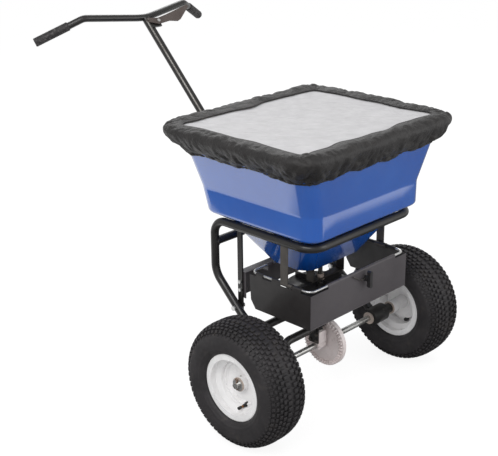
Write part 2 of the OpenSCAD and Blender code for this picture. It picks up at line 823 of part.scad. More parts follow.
// Boss on the axle with a block over it that carries the foot of the upright shaft
module foot_bearing() {
    from = foot_x0 + seat_gap;
    color([0.8, 0.74, 0.72]) difference() {
        union() {
            along_axle(from) cylinder(r = foot_boss_r, h = foot_x1 - from);
            block([from, -foot_y, axle_z + 9], [foot_x1, foot_y, foot_z1]);
        }
        along_axle(foot_x0 - 10) cylinder(r = axle_r + run_gap, h = 60);
        translate([shaft_x, 0, shaft_foot - 0.5]) cylinder(r = shaft_r + run_gap, h = 60);
        gearbox_bolt_places() translate([0, 0, -30]) cylinder(r = 2.5 + bolt_gap, h = 60);
    }
}

// Flat legs that are welded to the ring, bolted to the side tubes and stand on the ground
leg_face = ring_x - tube_r - seat_gap;
leg_foot_z = 4;

module stand_legs() {
    color([0.15, 0.15, 0.15]) on_both_sides() difference() {
        block([leg_face - leg_t, leg_y - leg_w / 2, leg_foot_z], [leg_face, leg_y + leg_w / 2, ring_z]);
        bar_across([leg_face, leg_y, leg_bolt_z], 4 + bolt_gap, 40);
        for (z = panel_bolt_z) bar_across([leg_face, leg_y, z], 3 + bolt_gap, 40);
    }
}

module leg_feet() {
    color([0.1, 0.1, 0.1]) on_both_sides() difference() {
        translate([leg_face - leg_t - 4, leg_y - leg_w / 2 - 4, 0]) cube([leg_t + 8, leg_w + 8, 28]);
        translate([leg_face - leg_t - seat_gap, leg_y - leg_w / 2 - seat_gap, leg_foot_z - seat_gap])
            cube([leg_t + 2 * seat_gap, leg_w + 2 * seat_gap, 40]);
    }
}

module leg_bolts() {
    color("silver") on_both_sides() translate([ring_x + tube_r + seat_gap, leg_y, leg_bolt_z])
        rotate([0, 90, 0]) bolt(8, tube_d + leg_t + 3 * seat_gap);
}

// Deflector box

panel_bolt_z = [322, 345];

module deflector_rod() {
    path = [
        [0, rod_front], [rod_x, rod_front], [rod_x, rod_rear],
        [-rod_x, rod_rear], [-rod_x, rod_front], [0, rod_front]];
    color([0.8, 0.8, 0.78]) bent_bar([for (p = path) [p[0], p[1], rod_z]], [20, 20, 20, 20], rod_r);
}

// A rolled edge round the deflector rod, along Z with the rod at the origin
module rolled_edge(from, to, gap) {
    translate([0, 0, from]) ring(rod_r + gap + sheet_t, rod_r + gap, to - from);
}

side_rolls = [[-67, -38], [1, 31], [62, 86]];

// Upper edge of the sheets, clear of the posts' eyes as the panels swing
sheet_top = rod_z - eye_r - 0.5;

module side_panel_at(side) {
    front = flap_y + sheet_t + side_gap;
    low_cut = [20, 23];
    color([0.2, 0.19, 0.19]) on_side(side) difference() {
        union() {
            translate([panel_x - sheet_t, 0, 0]) rotate([90, 0, 90]) linear_extrude(sheet_t) polygon([
                [front, panel_z], [side_rear - low_cut[0], panel_z], [side_rear - 4, panel_z + low_cut[1]],
                [side_rear, sheet_top], [front, sheet_top]]);
            for (roll = side_rolls) {
                translate([rod_x, 0, rod_z]) rotate([-90, 0, 0]) rolled_edge(roll[0], roll[1], 0.5);
                block([panel_x - sheet_t, roll[0], sheet_top - 1], [panel_x, roll[1], rod_z]);
            }
        }
        translate([rod_x, -200, rod_z]) rotate([-90, 0, 0]) cylinder(r = rod_r + 0.5, h = 400);
    }
}

module right_side_panel() { side_panel_at(-1); }
module left_side_panel() { side_panel_at(1); }

flap_x = panel_x - 0.5;

module front_flap() {
    hem_r = 1.5;
    color([0.36, 0.34, 0.36]) difference() {
        union() {
            translate([-flap_x, flap_y, panel_z]) cube([2 * flap_x, sheet_t, sheet_top - panel_z]);
            translate([0, rod_front, rod_z]) rotate([0, 90, 0])
                rolled_edge(flap_roll[0], flap_roll[1], roll_r - rod_r - sheet_t);
            block([flap_roll[0], flap_y, sheet_top - 1], [flap_roll[1], flap_y + sheet_t, rod_z]);
            bar_across([0, flap_y, panel_z + hem_r], hem_r, 2 * flap_x);
            for (x = flap_roll) translate([x > 0 ? x - 14 : x, rod_front, rod_z]) rotate([0, 90, 0])
                ring(rod_r + 1.2, rod_r + run_gap, 14);
        }
        translate([-300, rod_front, rod_z]) rotate([0, 90, 0]) cylinder(r = rod_r + run_gap, h = 600);
        translate([knob_x, 0, knob_z]) rotate([90, 0, 0]) cylinder(r = 4 + run_gap, h = 400, center = true);
    }
}

knob_x = 18.5;
knob_z = 365;
wire_r = 1.5;

// Turn knob with a T grip
module front_knob() {
    grip_w = 35;
    grip_t = 10;
    grip_h = 10;
    stem_h = 11;
    color([0.1, 0.1, 0.1]) translate([knob_x, flap_y, knob_z]) rotate([90, 0, 0]) {
        translate([0, 0, -sheet_t - 4]) cylinder(r = 4, h = sheet_t + 5);
        translate([0, 0, -sheet_t - 4]) cylinder(r = 7, h = 4 - side_gap);
        difference() {
            translate([0, 0, side_gap]) cylinder(r = 8, h = stem_h);
            knob_wire_hole();
        }
        translate([-grip_t / 2, -grip_w / 2, stem_h - 1]) cube([grip_t, grip_w, grip_h]);
        for (end = [-1, 1]) translate([0, end * grip_w / 2, stem_h - 1.5])
            cylinder(r = grip_t / 2 + 0.6, h = grip_h + 1);
    }
}

module knob_wire_hole() {
    translate([-5, 1, 4]) rotate([0, -90, 0]) cylinder(r = wire_r + seat_gap, h = 10);
}

// Catch wire that turns with the knob
module catch_wire() {
    y = flap_y - 4;
    path = [[knob_x - 5.5, y, knob_z + 1], [knob_x - 22, y, knob_z + 1], [knob_x - 54, y, rod_z - 3]];
    color("silver") bent_bar(path, [10], wire_r);
}

module rear_panel() {
    face_y = leg_y + 9;
    flange_y = leg_y - 16;
    flange_z = rear_panel_top - sheet_t;
    inner_x = leg_face - leg_t - seat_gap;
    tab_w = 20;
    color([0.3, 0.29, 0.3]) difference() {
        union() {
            block([-inner_x, face_y - sheet_t, rear_panel_z], [inner_x, face_y, rear_panel_top]);
            block([-inner_x, flange_y, flange_z], [inner_x, face_y, rear_panel_top]);
            for (x = [-inner_x, inner_x - sheet_t])
                block([x, flange_y, rear_panel_z], [x + sheet_t, face_y, rear_panel_top]);
            for (x = [-130, 110]) {
                block([x, rod_rear - roll_r, flange_z], [x + tab_w, flange_y + 1, rear_panel_top]);
                block([x, rod_rear - roll_r, flange_z], [x + tab_w, rod_rear - roll_r + sheet_t, rod_z]);
                translate([x, rod_rear, rod_z]) rotate([0, 90, 0]) ring(roll_r, rod_r + 0.5, tab_w);
            }
        }
        bar_across([0, rod_rear, rod_z], rod_r + 0.5, 600);
        for (z = panel_bolt_z) bar_across([0, leg_y, z], 3 + bolt_gap, 500);
        bracket_foot_holes();
    }
}

module rear_panel_bolts() {
    color("silver") on_both_sides() for (z = panel_bolt_z)
        translate([leg_face + seat_gap, leg_y, z]) rotate([0, 90, 0]) bolt(6, leg_t + sheet_t + 3 * seat_gap);
}

// Zinc posts from the ring down to eyes on the deflector rod
module front_posts() {
    front = -37;
    back = 0;
    color([0.68, 0.67, 0.64]) on_both_sides() difference() {
        union() {
            translate([rod_x + eye_r - post_t, back - post_w, rod_z]) cube([post_t, post_w, ring_z - rod_z]);
            translate([rod_x, front, rod_z]) rotate([-90, 0, 0]) cylinder(r = eye_r, h = back - front);
        }
        translate([rod_x, -300, rod_z]) rotate([-90, 0, 0]) cylinder(r = rod_r + seat_gap, h = 600);
        translate([ring_x, -300, ring_z]) rotate([-90, 0, 0]) cylinder(r = tube_r + seat_gap, h = 600);
        translate([ring_x - 40, -300, ring_z]) cube([80, 600, 40]);
    }
}

// Hopper and gate

hopper_side_n = 1;
hopper_corner_n = 6;

module hopper_shell() {
    lip = [rim_x, rim_front, rim_rear, 60, rim_z];
    lip_in = [rim_x - 22, -149, rim_rear - 20, 48, rim_z];
    walls = [for (i = [len(hopper_levels) - 2:-1:1]) inset(hopper_levels[i], hopper_wall)];
    floor_in = inset([floor_x, floor_front, floor_rear, 40, floor_z + hopper_wall], hopper_wall);
    levels = concat(hopper_levels, [lip, inset(lip_in, hopper_wall)], walls, [floor_in]);
    lofted(levels, hopper_side_n, hopper_corner_n);
}

strap_w = 24;
strap_t = 3;
strap_z = 356;
strap_x = [-82, 40];
strap_foot = 15;
strap_bolt_x = [strap_x[0] - strap_foot / 2 - 1, strap_x[1] + strap_foot / 2 + 1];

module hopper() {
    color([0.2, 0.42, 0.75]) difference() {
        hopper_shell();
        translate([gate_x - outlet_w / 2, outlet_front, floor_z - 5]) cube([outlet_w, outlet_l, 20]);
        translate([shaft_x, 0, floor_z - 5]) cylinder(r = 10 + seat_gap, h = 20);
        for (x = strap_bolt_x) translate([x, 0, floor_z - 5]) cylinder(r = 3 + bolt_gap, h = 20);
        guide_bolt_places() translate([0, 0, -10]) cylinder(r = 2 + bolt_gap, h = 20);
    }
}

module shaft_seal() {
    color([0.1, 0.1, 0.1]) translate([shaft_x, 0, 0]) {
        translate([0, 0, floor_z - 2.5]) ring(11.5, shaft_r + run_gap, 2.5 - seat_gap + eps);
        translate([0, 0, floor_z - seat_gap]) ring(10, shaft_r + run_gap, hopper_wall + seat_gap);
    }
}

module bearing_strap() {
    color([0.72, 0.72, 0.7]) difference() {
        translate([0, -strap_w / 2, 0]) {
            translate([strap_x[0], 0, strap_z]) cube([strap_x[1] - strap_x[0], strap_w, strap_t]);
            for (i = [0, 1]) {
                translate([i == 0 ? strap_x[0] : strap_x[1] - strap_t, 0, strap_z])
                    cube([strap_t, strap_w, floor_z - strap_z]);
                translate([i == 0 ? strap_x[0] - strap_foot : strap_x[1] - strap_t, 0, floor_z - strap_t])
                    cube([strap_foot + strap_t, strap_w, strap_t]);
            }
        }
        translate([shaft_x, 0, strap_z - 5]) cylinder(r = 9 + seat_gap, h = 20);
        for (x = strap_bolt_x) translate([x, 0, floor_z - 10]) cylinder(r = 3 + bolt_gap, h = 20);
    }
}

module strap_bush() {
    color([0.85, 0.83, 0.78]) translate([shaft_x, 0, 0]) {
        translate([0, 0, strap_z - 2]) ring(12, shaft_r + run_gap, 2 - seat_gap + eps);
        translate([0, 0, strap_z - seat_gap]) ring(9, shaft_r + run_gap, strap_t + 8);
    }
}

module strap_bolts() {
    color("silver") for (x = strap_bolt_x) translate([x, 0, floor_z + hopper_wall + seat_gap])
        bolt(6, hopper_wall + strap_t + 2 * seat_gap);
}

// Rails under the hopper's floor that hold the gate plate
rail_t = 2.5;
rail_lip = 4;
rail_front = 15;
rail_rear = 118;
rail_bolt_y = [30, 100];

module guide_bolt_places() {
    for (side = [-1, 1], y = rail_bolt_y)
        translate([gate_x + side * (gate_w / 2 + 7), y, floor_z]) children();
}

module gate_guides() {
    wall_x = gate_w / 2 + side_gap;
    lip_z = gate_top - gate_t - side_gap - rail_lip_t;
    color([0.7, 0.7, 0.68]) difference() {
        for (side = [-1, 1]) translate([gate_x, rail_front, 0]) mirror([side > 0 ? 0 : 1, 0, 0]) {
            translate([wall_x, 0, lip_z]) cube([rail_t, rail_rear - rail_front, floor_z - lip_z]);
            translate([wall_x - rail_lip, 0, lip_z]) cube([rail_lip + 1, rail_rear - rail_front, rail_lip_t]);
            translate([wall_x, 0, floor_z - 2]) cube([11, rail_rear - rail_front, 2]);
        }
        guide_bolt_places() translate([0, 0, -10]) cylinder(r = 2 + bolt_gap, h = 20);
    }
    color("silver") guide_bolt_places() translate([0, 0, hopper_wall + seat_gap]) {
        cylinder(r = 3.6, h = 2.4);
        translate([0, 0, -hopper_wall - 2 - 4]) cylinder(r = 2, h = hopper_wall + 6 + eps);
        translate([0, 0, -hopper_wall - 2 - 3.2 - seat_gap]) cylinder(r = 3.6, h = 3, $fn = 6);
    }
}

ear_x = rod_pin_x - 8;

// Sliding gate with its port, and the ear that the control rod pulls
module gate_plate() {
    front = outlet_front - gate_lap - 2;
    port = outlet_front + outlet_l + gate_lap;
    ear_r = 6;
    color([0.7, 0.7, 0.68]) difference() {
        union() {
            translate([gate_x - gate_w / 2, front, gate_top - gate_t]) cube([gate_w, 122 - front, gate_t]);
            translate([ear_x - 10, 120, gate_top - gate_t]) cube([12, gate_pin_y + 6 - 120, gate_t]);
            block(
                [ear_x, gate_pin_y - ear_r, gate_top - gate_t],
                [ear_x + 2, gate_pin_y + ear_r, gate_pin_z]);
            translate([ear_x, gate_pin_y, gate_pin_z]) rotate([0, 90, 0]) cylinder(r = ear_r, h = 2);
        }
        translate([gate_x - outlet_w / 2, port, gate_top - gate_t - 5]) cube([outlet_w, outlet_l, 20]);
        bar_across([ear_x, gate_pin_y, gate_pin_z], 2.5 + seat_gap, 20);
    }
}

module gate_pin() {
    color("silver") translate([0, gate_pin_y, gate_pin_z]) rotate([0, 90, 0]) {
        translate([0, 0, ear_x - 2.5]) cylinder(r = 4, h = 2.5 - seat_gap);
        translate([0, 0, ear_x - 2.5]) cylinder(r = 2.5, h = rod_pin_x + 7 - ear_x);
        translate([0, 0, rod_pin_x + 3]) cylinder(r = 4, h = 1.5);
    }
}

// Handle

cheek_x = tube_r + 0.3;
cheek_t = 4;
foot_plate_t = 4;
bracket_bolt_u = [34, 68];
bracket_foot_y = leg_y - 5;

module bracket_foot_holes() {
    for (x = [-24, 24]) translate([x, bracket_foot_y, rear_panel_top])
        cylinder(r = 3 + bolt_gap, h = 40, center = true);
}

// Bolt holes through the handle's foot
module bracket_bolt_holes() {
    in_handle_frame() for (u = bracket_bolt_u) bar_across([0, u, 0], 4 + bolt_gap, 60);
}

function in_yz(u, v) =
    [rear_y + u * handle_u[1] + v * handle_v[1], cross_z + u * handle_u[2] + v * handle_v[2]];

// Two cheeks on the rear cross tube and a foot on the rear panel hold the handle post
module handle_bracket() {
    plate_z = rear_panel_top + seat_gap;
    cheek = [
        [bracket_foot_y + 17, plate_z], [bracket_foot_y + 43, plate_z],
        in_yz(-52, -18), in_yz(90, -18), in_yz(90, 8), in_yz(-30, 8)];
    color([0.14, 0.14, 0.14]) difference() {
        union() {
            for (side = [0, 1]) mirror([side, 0, 0]) translate([cheek_x, 0, 0])
                rotate([90, 0, 90]) linear_extrude(cheek_t) polygon(cheek);
            translate([-34, bracket_foot_y - 7, plate_z]) cube([68, 50, foot_plate_t]);
        }
        translate([-300, rear_y, cross_z]) rotate([0, 90, 0]) cylinder(r = tube_r + seat_gap, h = 600);
        bracket_bolt_holes();
        bracket_foot_holes();
    }
}

module bracket_bolts() {
    color("silver") {
        in_handle_frame() for (u = bracket_bolt_u) translate([cheek_x + cheek_t + seat_gap, u, 0])
            rotate([0, 90, 0]) bolt(8, 2 * (cheek_x + cheek_t + seat_gap));
        for (x = [-24, 24]) translate([x, bracket_foot_y, rear_panel_top + foot_plate_t + 2 * seat_gap])
            bolt(6, foot_plate_t + sheet_t + 3 * seat_gap);
    }
}

function other_side(p) = [-p[0], p[1], p[2]];

bar_path = [other_side(bar_end), other_side(bar_bend), handle_top, bar_bend, bar_end];
bar_bends = [34, 120, 34];

// Middle of the handlebar's wide bend, which the end of the post is shaped to
bar_rise = [0, bar_bend[1] - handle_top[1], bar_bend[2] - handle_top[2]];
bar_half_turn = atan(norm(bar_rise) / bar_bend_x);
bar_middle = handle_top + bar_bends[1] * (1 / cos(bar_half_turn) - 1) * unit(bar_rise);

module handle_post() {
    color([0.13, 0.13, 0.13]) difference() {
        in_handle_frame() translate([0, tube_r + 2, 0]) rotate([-90, 0, 0]) difference() {
            cylinder(r = tube_r, h = handle_l - tube_r - 4);
            translate([0, 0, -1]) cylinder(r = tube_r - tube_wall, h = handle_l);
        }
        bar_across(bar_middle, bar_r + bend_proud + seat_gap, 60);
        bracket_bolt_holes();
    }
}

module handlebar() {
    color([0.13, 0.13, 0.13]) bent_tube(bar_path, bar_bends, bar_r, tube_wall);
}

module handle_grips() {
    color([0.12, 0.12, 0.12]) on_both_sides() multmatrix(axes_along(-bar_dir, grip_end)) difference() {
        cylinder(r = grip_r, h = grip_l + 3);
        translate([0, 0, 3 - seat_gap]) cylinder(r = bar_r + seat_gap, h = grip_l + 10);
    }
}

// Control

module control_rod() {
    color([0.78, 0.78, 0.76]) {
        in_handle_frame() difference() {
            union() {
                translate([rod_pin_x, gate_pin_u, rod_v]) rotate([-90, 0, 0])
                    cylinder(r = control_r, h = eye_u - gate_pin_u);
                translate([rod_pin_x, eye_u, rod_v]) sphere(r = control_r);
                translate([rod_pin_x, eye_u, rod_v])
                    cylinder(r = control_r, h = lever_v + lever_t + 3 - rod_v);
                bar_across([rod_pin_x, gate_pin_u, rod_v], 5.5, control_d);
            }
            bar_across([rod_pin_x, gate_pin_u, rod_v], 2.5 + run_gap, 20);
        }
    }
}

// Flat lever that turns on a boss in front of the handlebar, its handle cranked from its arm
module control_lever() {
    root_x = 40;
    root_r = 10;
    arm = [[-lever_arm, 7], [-lever_arm - 7, 0], [-lever_arm, -7], [0, -root_r + 0.5], [0, root_r - 0.5]];
    handle = [
        [0, -root_r + 0.5], [root_x, -12], [root_x + 26, -22], [root_x + 40, -20],
        [lever_reach, 8], [lever_reach - 3, 15], [root_x, 10], [0, root_r - 0.5]];
    color([0.32, 0.29, 0.27]) in_handle_frame() translate([pivot_x, pivot_u, lever_v])
        linear_extrude(lever_t) difference() {
            union() {
                rotate(-lever_half) polygon(arm);
                rotate(lever_crank - lever_half) polygon(handle);
                circle(r = root_r);
            }
            circle(r = 3 + run_gap);
            translate([rod_pin_x - pivot_x, eye_u - pivot_u]) circle(r = control_r + 1.3);
        }
}

// Bracket welded to the post, whose boss carries the lever
bracket_v = 9;
bracket_t = 5.3;
boss_r = 8;

module lever_bracket() {
    half_l = 14;
    color([0.14, 0.14, 0.14]) in_handle_frame() difference() {
        union() {
            translate([-8, pivot_u - half_l, bracket_v]) cube([pivot_x + 17, 2 * half_l, bracket_t]);
            translate([pivot_x, pivot_u, bracket_v + 1])
                cylinder(r = boss_r, h = lever_v - side_gap - bracket_v - 1);
        }
        translate([0, pivot_u - 50, 0]) rotate([-90, 0, 0]) cylinder(r = tube_r + seat_gap, h = 100);
        translate([pivot_x, pivot_u, 0]) cylinder(r = 3 + bolt_gap, h = 40);
    }
}

module lever_pivot_bolt() {
    color("silver") in_handle_frame() translate([pivot_x, pivot_u, lever_v + lever_t + side_gap])
        bolt(6, lever_v + lever_t + side_gap - bracket_v + seat_gap);
}

// Cover: an elastic border over the rim and a pale window that closes its middle

// Half width, front and rear of the hopper wall at a height under the rim, moved out by an offset
function wall_at(z, out) =
    let (a = hopper_levels[4], b = hopper_levels[5], t = (z - a[4]) / (b[4] - a[4]), p = a + t * (b - a))
    [p[0] + out, p[1] - out, p[2] + out, p[3] + out, z];

function cover_at(in, r, drop) = [cover_x - in, cover_front + in, cover_rear - in, r, cover_z - drop];

// Outline of the gap round the window at the cover's top, below it by a drop
function window_gap(drop) =
    [window_x + side_gap, window_front - side_gap, window_rear + side_gap, window_corner + side_gap,
        cover_z - drop];

// Sections of the border from the window over the rim to the hem, with their share of the folds
hem_z = rim_z - hem_drop;
puff_z = hem_z + 14;
border_outside = [
    [window_gap(1), 0],
    [cover_at(24, 44, 0), 0.3],
    [cover_at(6, 58, 4), 0.4],
    [cover_at(0, 64, 14), 0.5],
    [cover_at(6, 60, 30), 0.6],
    [wall_at(puff_z, 16), 1],
    [wall_at(hem_z, 6), 0.4]
];
border_inside = [
    [wall_at(hem_z, 1.2), 0],
    [wall_at(puff_z, 16 - cloth_t), 1],
    [cover_at(6 + cloth_t, 60, 30), 0.6],
    [cover_at(cloth_t, 62, 14), 0.5],
    [[rim_x + 1.5, rim_front - 1.5, rim_rear + 1.5, 60, rim_z + side_gap], 0],
    [window_gap(1 + cloth_t), 0]
];
border_side_n = 18;
border_corner_n = 5;
fold_n = 23;

module cover_border() {
    n = 4 * (border_side_n + border_corner_n);
    sections = concat(border_outside, border_inside);
    rows = len(sections);
    fold = [for (i = [0:n - 1]) fold_depth * (1 - cos(360 * fold_n * i / n + 40 * sin(720 * i / n))) / 2];
    color([0.25, 0.22, 0.22]) polyhedron(
        points = [for (k = [rows - 1:-1:0]) each [for (i = [0:n - 1]) let (
                level = inset(sections[k][0], fold[i] * sections[k][1]),
                p = outline(level, border_side_n, border_corner_n)[i])
            [p[0], p[1], level[4]]]],
        faces = skin(rows, n, true));
}

module cover_window() {
    side_n = 8;
    corner_n = 3;
    step = 62;
    sag = 1.5;
    edge = [window_x, window_front, window_rear, window_corner, cover_z - 1];
    top = [for (k = [0:2]) lowered(inset(edge, step * k), sag * k)];
    color([0.86, 0.84, 0.87])
        lofted(concat([for (k = [2:-1:0]) lowered(top[k], cloth_t)], top), side_n, corner_n);
}

placed() right_tyre();
placed() left_tyre();
placed() right_rim();
placed() left_rim();
placed() right_hub_bushes();
placed() left_hub_bushes();
placed() right_valve_stem();
placed() left_valve_stem();
placed() axle();
placed() axle_spacers();
placed() axle_washers();
placed() cotter_pins();
placed() wheel_drive_pin();
placed() drive_gear();
placed() gear_pin();
placed() bearing_housings();
placed() bearing_bushes();
placed() main_frame_tube();
placed() rear_cross_tube();
placed() lower_cross_tube();
placed() gearbox_arm();
placed() foot_bearing();
placed() gearbox_bolts();
placed() stand_legs();
placed() leg_feet();
placed() leg_bolts();
placed() pinion();
placed() spinner_shaft();
placed() thrust_washer();
placed() shaft_pins();
placed() spinner_disc();
placed() agitator();
placed() bearing_strap();
placed() strap_bush();
placed() strap_bolts();
placed() hopper();
placed() shaft_seal();
placed() gate_plate();
placed() gate_guides();
placed() gate_pin();
placed() deflector_rod();
placed() rear_panel();
placed() rear_panel_bolts();
placed() right_side_panel();
placed() left_side_panel();
placed() front_posts();
placed() front_flap();
placed() front_knob();
placed() catch_wire();
placed() handle_bracket();
placed() bracket_bolts();
placed() handle_post();
placed() handlebar();
placed() handle_grips();
placed() control_rod();
placed() control_lever();
placed() lever_bracket();
placed() lever_pivot_bolt();
placed() cover_border();
placed() cover_window();
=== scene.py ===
"""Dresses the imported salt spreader: treaded tyres, glossy hopper, cloth cover, ribbed grips,
weld beads and a procedural material on every surface, with a plain studio round it."""
import json
import math

import bmesh
import bpy
import numpy as np
from mathutils import Matrix, Vector, noise


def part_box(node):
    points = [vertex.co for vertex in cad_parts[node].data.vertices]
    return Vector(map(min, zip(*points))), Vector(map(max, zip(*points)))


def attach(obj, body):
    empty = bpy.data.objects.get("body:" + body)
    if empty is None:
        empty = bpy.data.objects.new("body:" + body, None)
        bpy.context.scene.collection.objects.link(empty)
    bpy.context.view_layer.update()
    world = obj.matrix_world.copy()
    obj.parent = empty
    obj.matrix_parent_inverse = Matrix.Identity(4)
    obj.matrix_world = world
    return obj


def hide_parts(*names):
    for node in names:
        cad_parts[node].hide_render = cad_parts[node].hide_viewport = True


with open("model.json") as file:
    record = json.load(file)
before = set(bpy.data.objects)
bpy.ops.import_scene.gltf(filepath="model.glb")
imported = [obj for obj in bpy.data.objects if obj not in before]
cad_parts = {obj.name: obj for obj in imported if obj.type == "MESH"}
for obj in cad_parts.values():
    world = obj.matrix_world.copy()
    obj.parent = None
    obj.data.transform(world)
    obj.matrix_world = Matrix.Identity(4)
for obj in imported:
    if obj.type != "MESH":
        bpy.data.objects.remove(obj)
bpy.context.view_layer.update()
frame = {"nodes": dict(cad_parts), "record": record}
NODES = frame["nodes"]
MM = 0.001


# Helpers for shapes

def middle(node):
    low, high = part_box(node)
    return (low + high) / 2


def mesh_object(name, points, faces, smooth=True, closed=True):
    """A mesh piece. A closed one gets its faces turned outwards."""
    mesh = bpy.data.meshes.new(name)
    mesh.from_pydata([tuple(p) for p in points], [], [tuple(f) for f in faces])
    if closed:
        edit = bmesh.new()
        edit.from_mesh(mesh)
        bmesh.ops.recalc_face_normals(edit, faces=edit.faces)
        edit.to_mesh(mesh)
        edit.free()
    mesh.polygons.foreach_set("use_smooth", [smooth] * len(mesh.polygons))
    piece = bpy.data.objects.new(name, mesh)
    bpy.context.scene.collection.objects.link(piece)
    return piece


def grid_faces(rows, columns, closed_rows=False, closed_columns=True):
    """Quads between rows of points that stand one after another."""
    faces = []
    for i in range(rows if closed_rows else rows - 1):
        for j in range(columns if closed_columns else columns - 1):
            a, b = i * columns, (i + 1) % rows * columns
            k = (j + 1) % columns
            faces.append((a + j, a + k, b + k, b + j))
    return faces


def merged(shapes):
    """One list of points and faces out of several."""
    points, faces = [], []
    for some_points, some_faces in shapes:
        base = len(points)
        points += list(some_points)
        faces += [tuple(base + i for i in face) for face in some_faces]
    return points, faces


def applied(piece):
    """Turns a piece's modifiers into its mesh."""
    bpy.context.view_layer.update()
    seen = piece.evaluated_get(bpy.context.evaluated_depsgraph_get())
    mesh = bpy.data.meshes.new_from_object(seen)
    piece.modifiers.clear()
    old = piece.data
    piece.data = mesh
    bpy.data.meshes.remove(old)
    return piece


def tube_along(points, radius, sides=10):
    """Points and faces of a closed ring of tube through points; radius may be one per point."""
    count = len(points)
    radii = np.broadcast_to(np.asarray(radius, float), (count,))
    path = np.array(points, float)
    along = np.roll(path, -1, 0) - np.roll(path, 1, 0)
    along /= np.linalg.norm(along, axis=1)[:, None]
    side = np.cross(along, path - path.mean(0))
    side /= np.linalg.norm(side, axis=1)[:, None]
    up = np.cross(side, along)
    rows = []
    for k in range(sides):
        turn = 2 * math.pi * k / sides
        rows.append(path + radii[:, None] * (math.cos(turn) * side + math.sin(turn) * up))
    return np.concatenate(rows), grid_faces(sides, count, closed_rows=True)


def smooth_step(x, low, high):
    t = min(max((x - low) / (high - low), 0.0), 1.0)
    return t * t * (3 - 2 * t)


# Materials

def srgb(red, green, blue):
    """A colour in 0 to 255, as Blender's linear values."""
    parts = [c / 255 for c in (red, green, blue)]
    return tuple(c / 12.92 if c < 0.04045 else ((c + 0.055) / 1.055) ** 2.4 for c in parts) + (1.0,)


class Look:
    """A material's nodes, with a short call for each kind that is used here."""

    def __init__(self, name, rough=0.5, metal=0.0, **inputs):
        self.material = bpy.data.materials.new(name)
        self.material.use_nodes = True
        self.tree = self.material.node_tree
        self.shader = self.tree.nodes["Principled BSDF"]
        self.shader.inputs["Roughness"].default_value = rough
        self.shader.inputs["Metallic"].default_value = metal
        for key, value in inputs.items():
            self.shader.inputs[key.replace("_", " ").title()].default_value = value
        self.place = self.tree.nodes.new("ShaderNodeTexCoord").outputs["Object"]

    def put(self, socket, value):
        if isinstance(value, bpy.types.NodeSocket):
            self.tree.links.new(value, socket)
        else:
            socket.default_value = value

    def noise(self, scale, detail=3.0, rough=0.55, stretch=(1, 1, 1), turn=0.0):
        """Noise in the object's own space; scale is in features a metre."""
        mapping = self.tree.nodes.new("ShaderNodeMapping")
        mapping.vector_type = "TEXTURE"
        mapping.inputs["Scale"].default_value = [1 / s for s in stretch]
        mapping.inputs["Rotation"].default_value = (0, 0, turn)
        self.put(mapping.inputs["Vector"], self.place)
        texture = self.tree.nodes.new("ShaderNodeTexNoise")
        texture.inputs["Scale"].default_value = scale
        texture.inputs["Detail"].default_value = detail
        texture.inputs["Roughness"].default_value = rough
        self.put(texture.inputs["Vector"], mapping.outputs["Vector"])
        return texture.outputs["Fac"]

    def span(self, value, low, high, to_low=0.0, to_high=1.0):
        """A value's stretch from low to high, spread over another."""
        node = self.tree.nodes.new("ShaderNodeMapRange")
        for key, number in (("From Min", low), ("From Max", high), ("To Min", to_low), ("To Max", to_high)):
            node.inputs[key].default_value = number
        self.put(node.inputs["Value"], value)
        return node.outputs["Result"]

    def sum(self, operation, a, b=0.0):
        node = self.tree.nodes.new("ShaderNodeMath")
        node.operation = operation
        self.put(node.inputs[0], a)
        self.put(node.inputs[1], b)
        return node.outputs[0]

    def axis(self, letter):
        """One coordinate of the object's own space."""
        node = self.tree.nodes.new("ShaderNodeSeparateXYZ")
        self.put(node.inputs[0], self.place)
        return node.outputs[letter]

    def mix(self, share, a, b):
        node = self.tree.nodes.new("ShaderNodeMix")
        node.data_type = "RGBA"
        self.put(node.inputs[0], share)
        self.put(node.inputs[6], a)
        self.put(node.inputs[7], b)
        return node.outputs[2]

    def colour(self, value):
        self.put(self.shader.inputs["Base Color"], value)
        return self

    def rough(self, value):
        self.put(self.shader.inputs["Roughness"], value)
        return self

    def bump(self, height, distance, strength=1.0):
        """Adds a bump over what the shader's normal has so far; distance is in metres."""
        node = self.tree.nodes.new("ShaderNodeBump")
        node.inputs["Strength"].default_value = strength
        node.inputs["Distance"].default_value = distance
        normal = self.shader.inputs["Normal"]
        if normal.is_linked:
            self.put(node.inputs["Normal"], normal.links[0].from_socket)
        self.put(node.inputs["Height"], height)
        self.put(normal, node.outputs["Normal"])
        return self


def painted(name, base, wear_and_highlight, rough, coat=0.0, peel=0.00008, metal=0.0, patch=9):
    """Powder coat or paint: slow colour change, uneven gloss, orange peel and a little dust."""
    look = Look(name, rough, metal, coat_weight=coat, coat_roughness=0.12)
    slow = look.span(look.noise(patch, 5), 0.35, 0.68)
    fine = look.span(look.noise(260, 3), 0.62, 0.78)
    look.colour(look.mix(look.sum("MULTIPLY", fine, 0.5), look.mix(slow, base, wear_and_highlight), wear_and_highlight))
    look.rough(look.span(look.noise(45, 4), 0.3, 0.7, rough - 0.07, rough + 0.1))
    return look.bump(look.noise(420, 2), peel)


def bare_metal(name, light, dark, rough, grain=(1, 1, 1), scale=60, depth=0.00003):
    """Bright metal with fine drawn lines along one axis and a few dull patches."""
    look = Look(name, rough, 0.9)
    lines = look.noise(scale * 9, 2, 0.6, grain)
    dull = look.span(look.noise(scale / 3, 5), 0.4, 0.7)
    look.colour(look.mix(dull, light, dark))
    look.rough(look.span(lines, 0.3, 0.7, rough - 0.08, rough + 0.12))
    return look.bump(lines, depth)


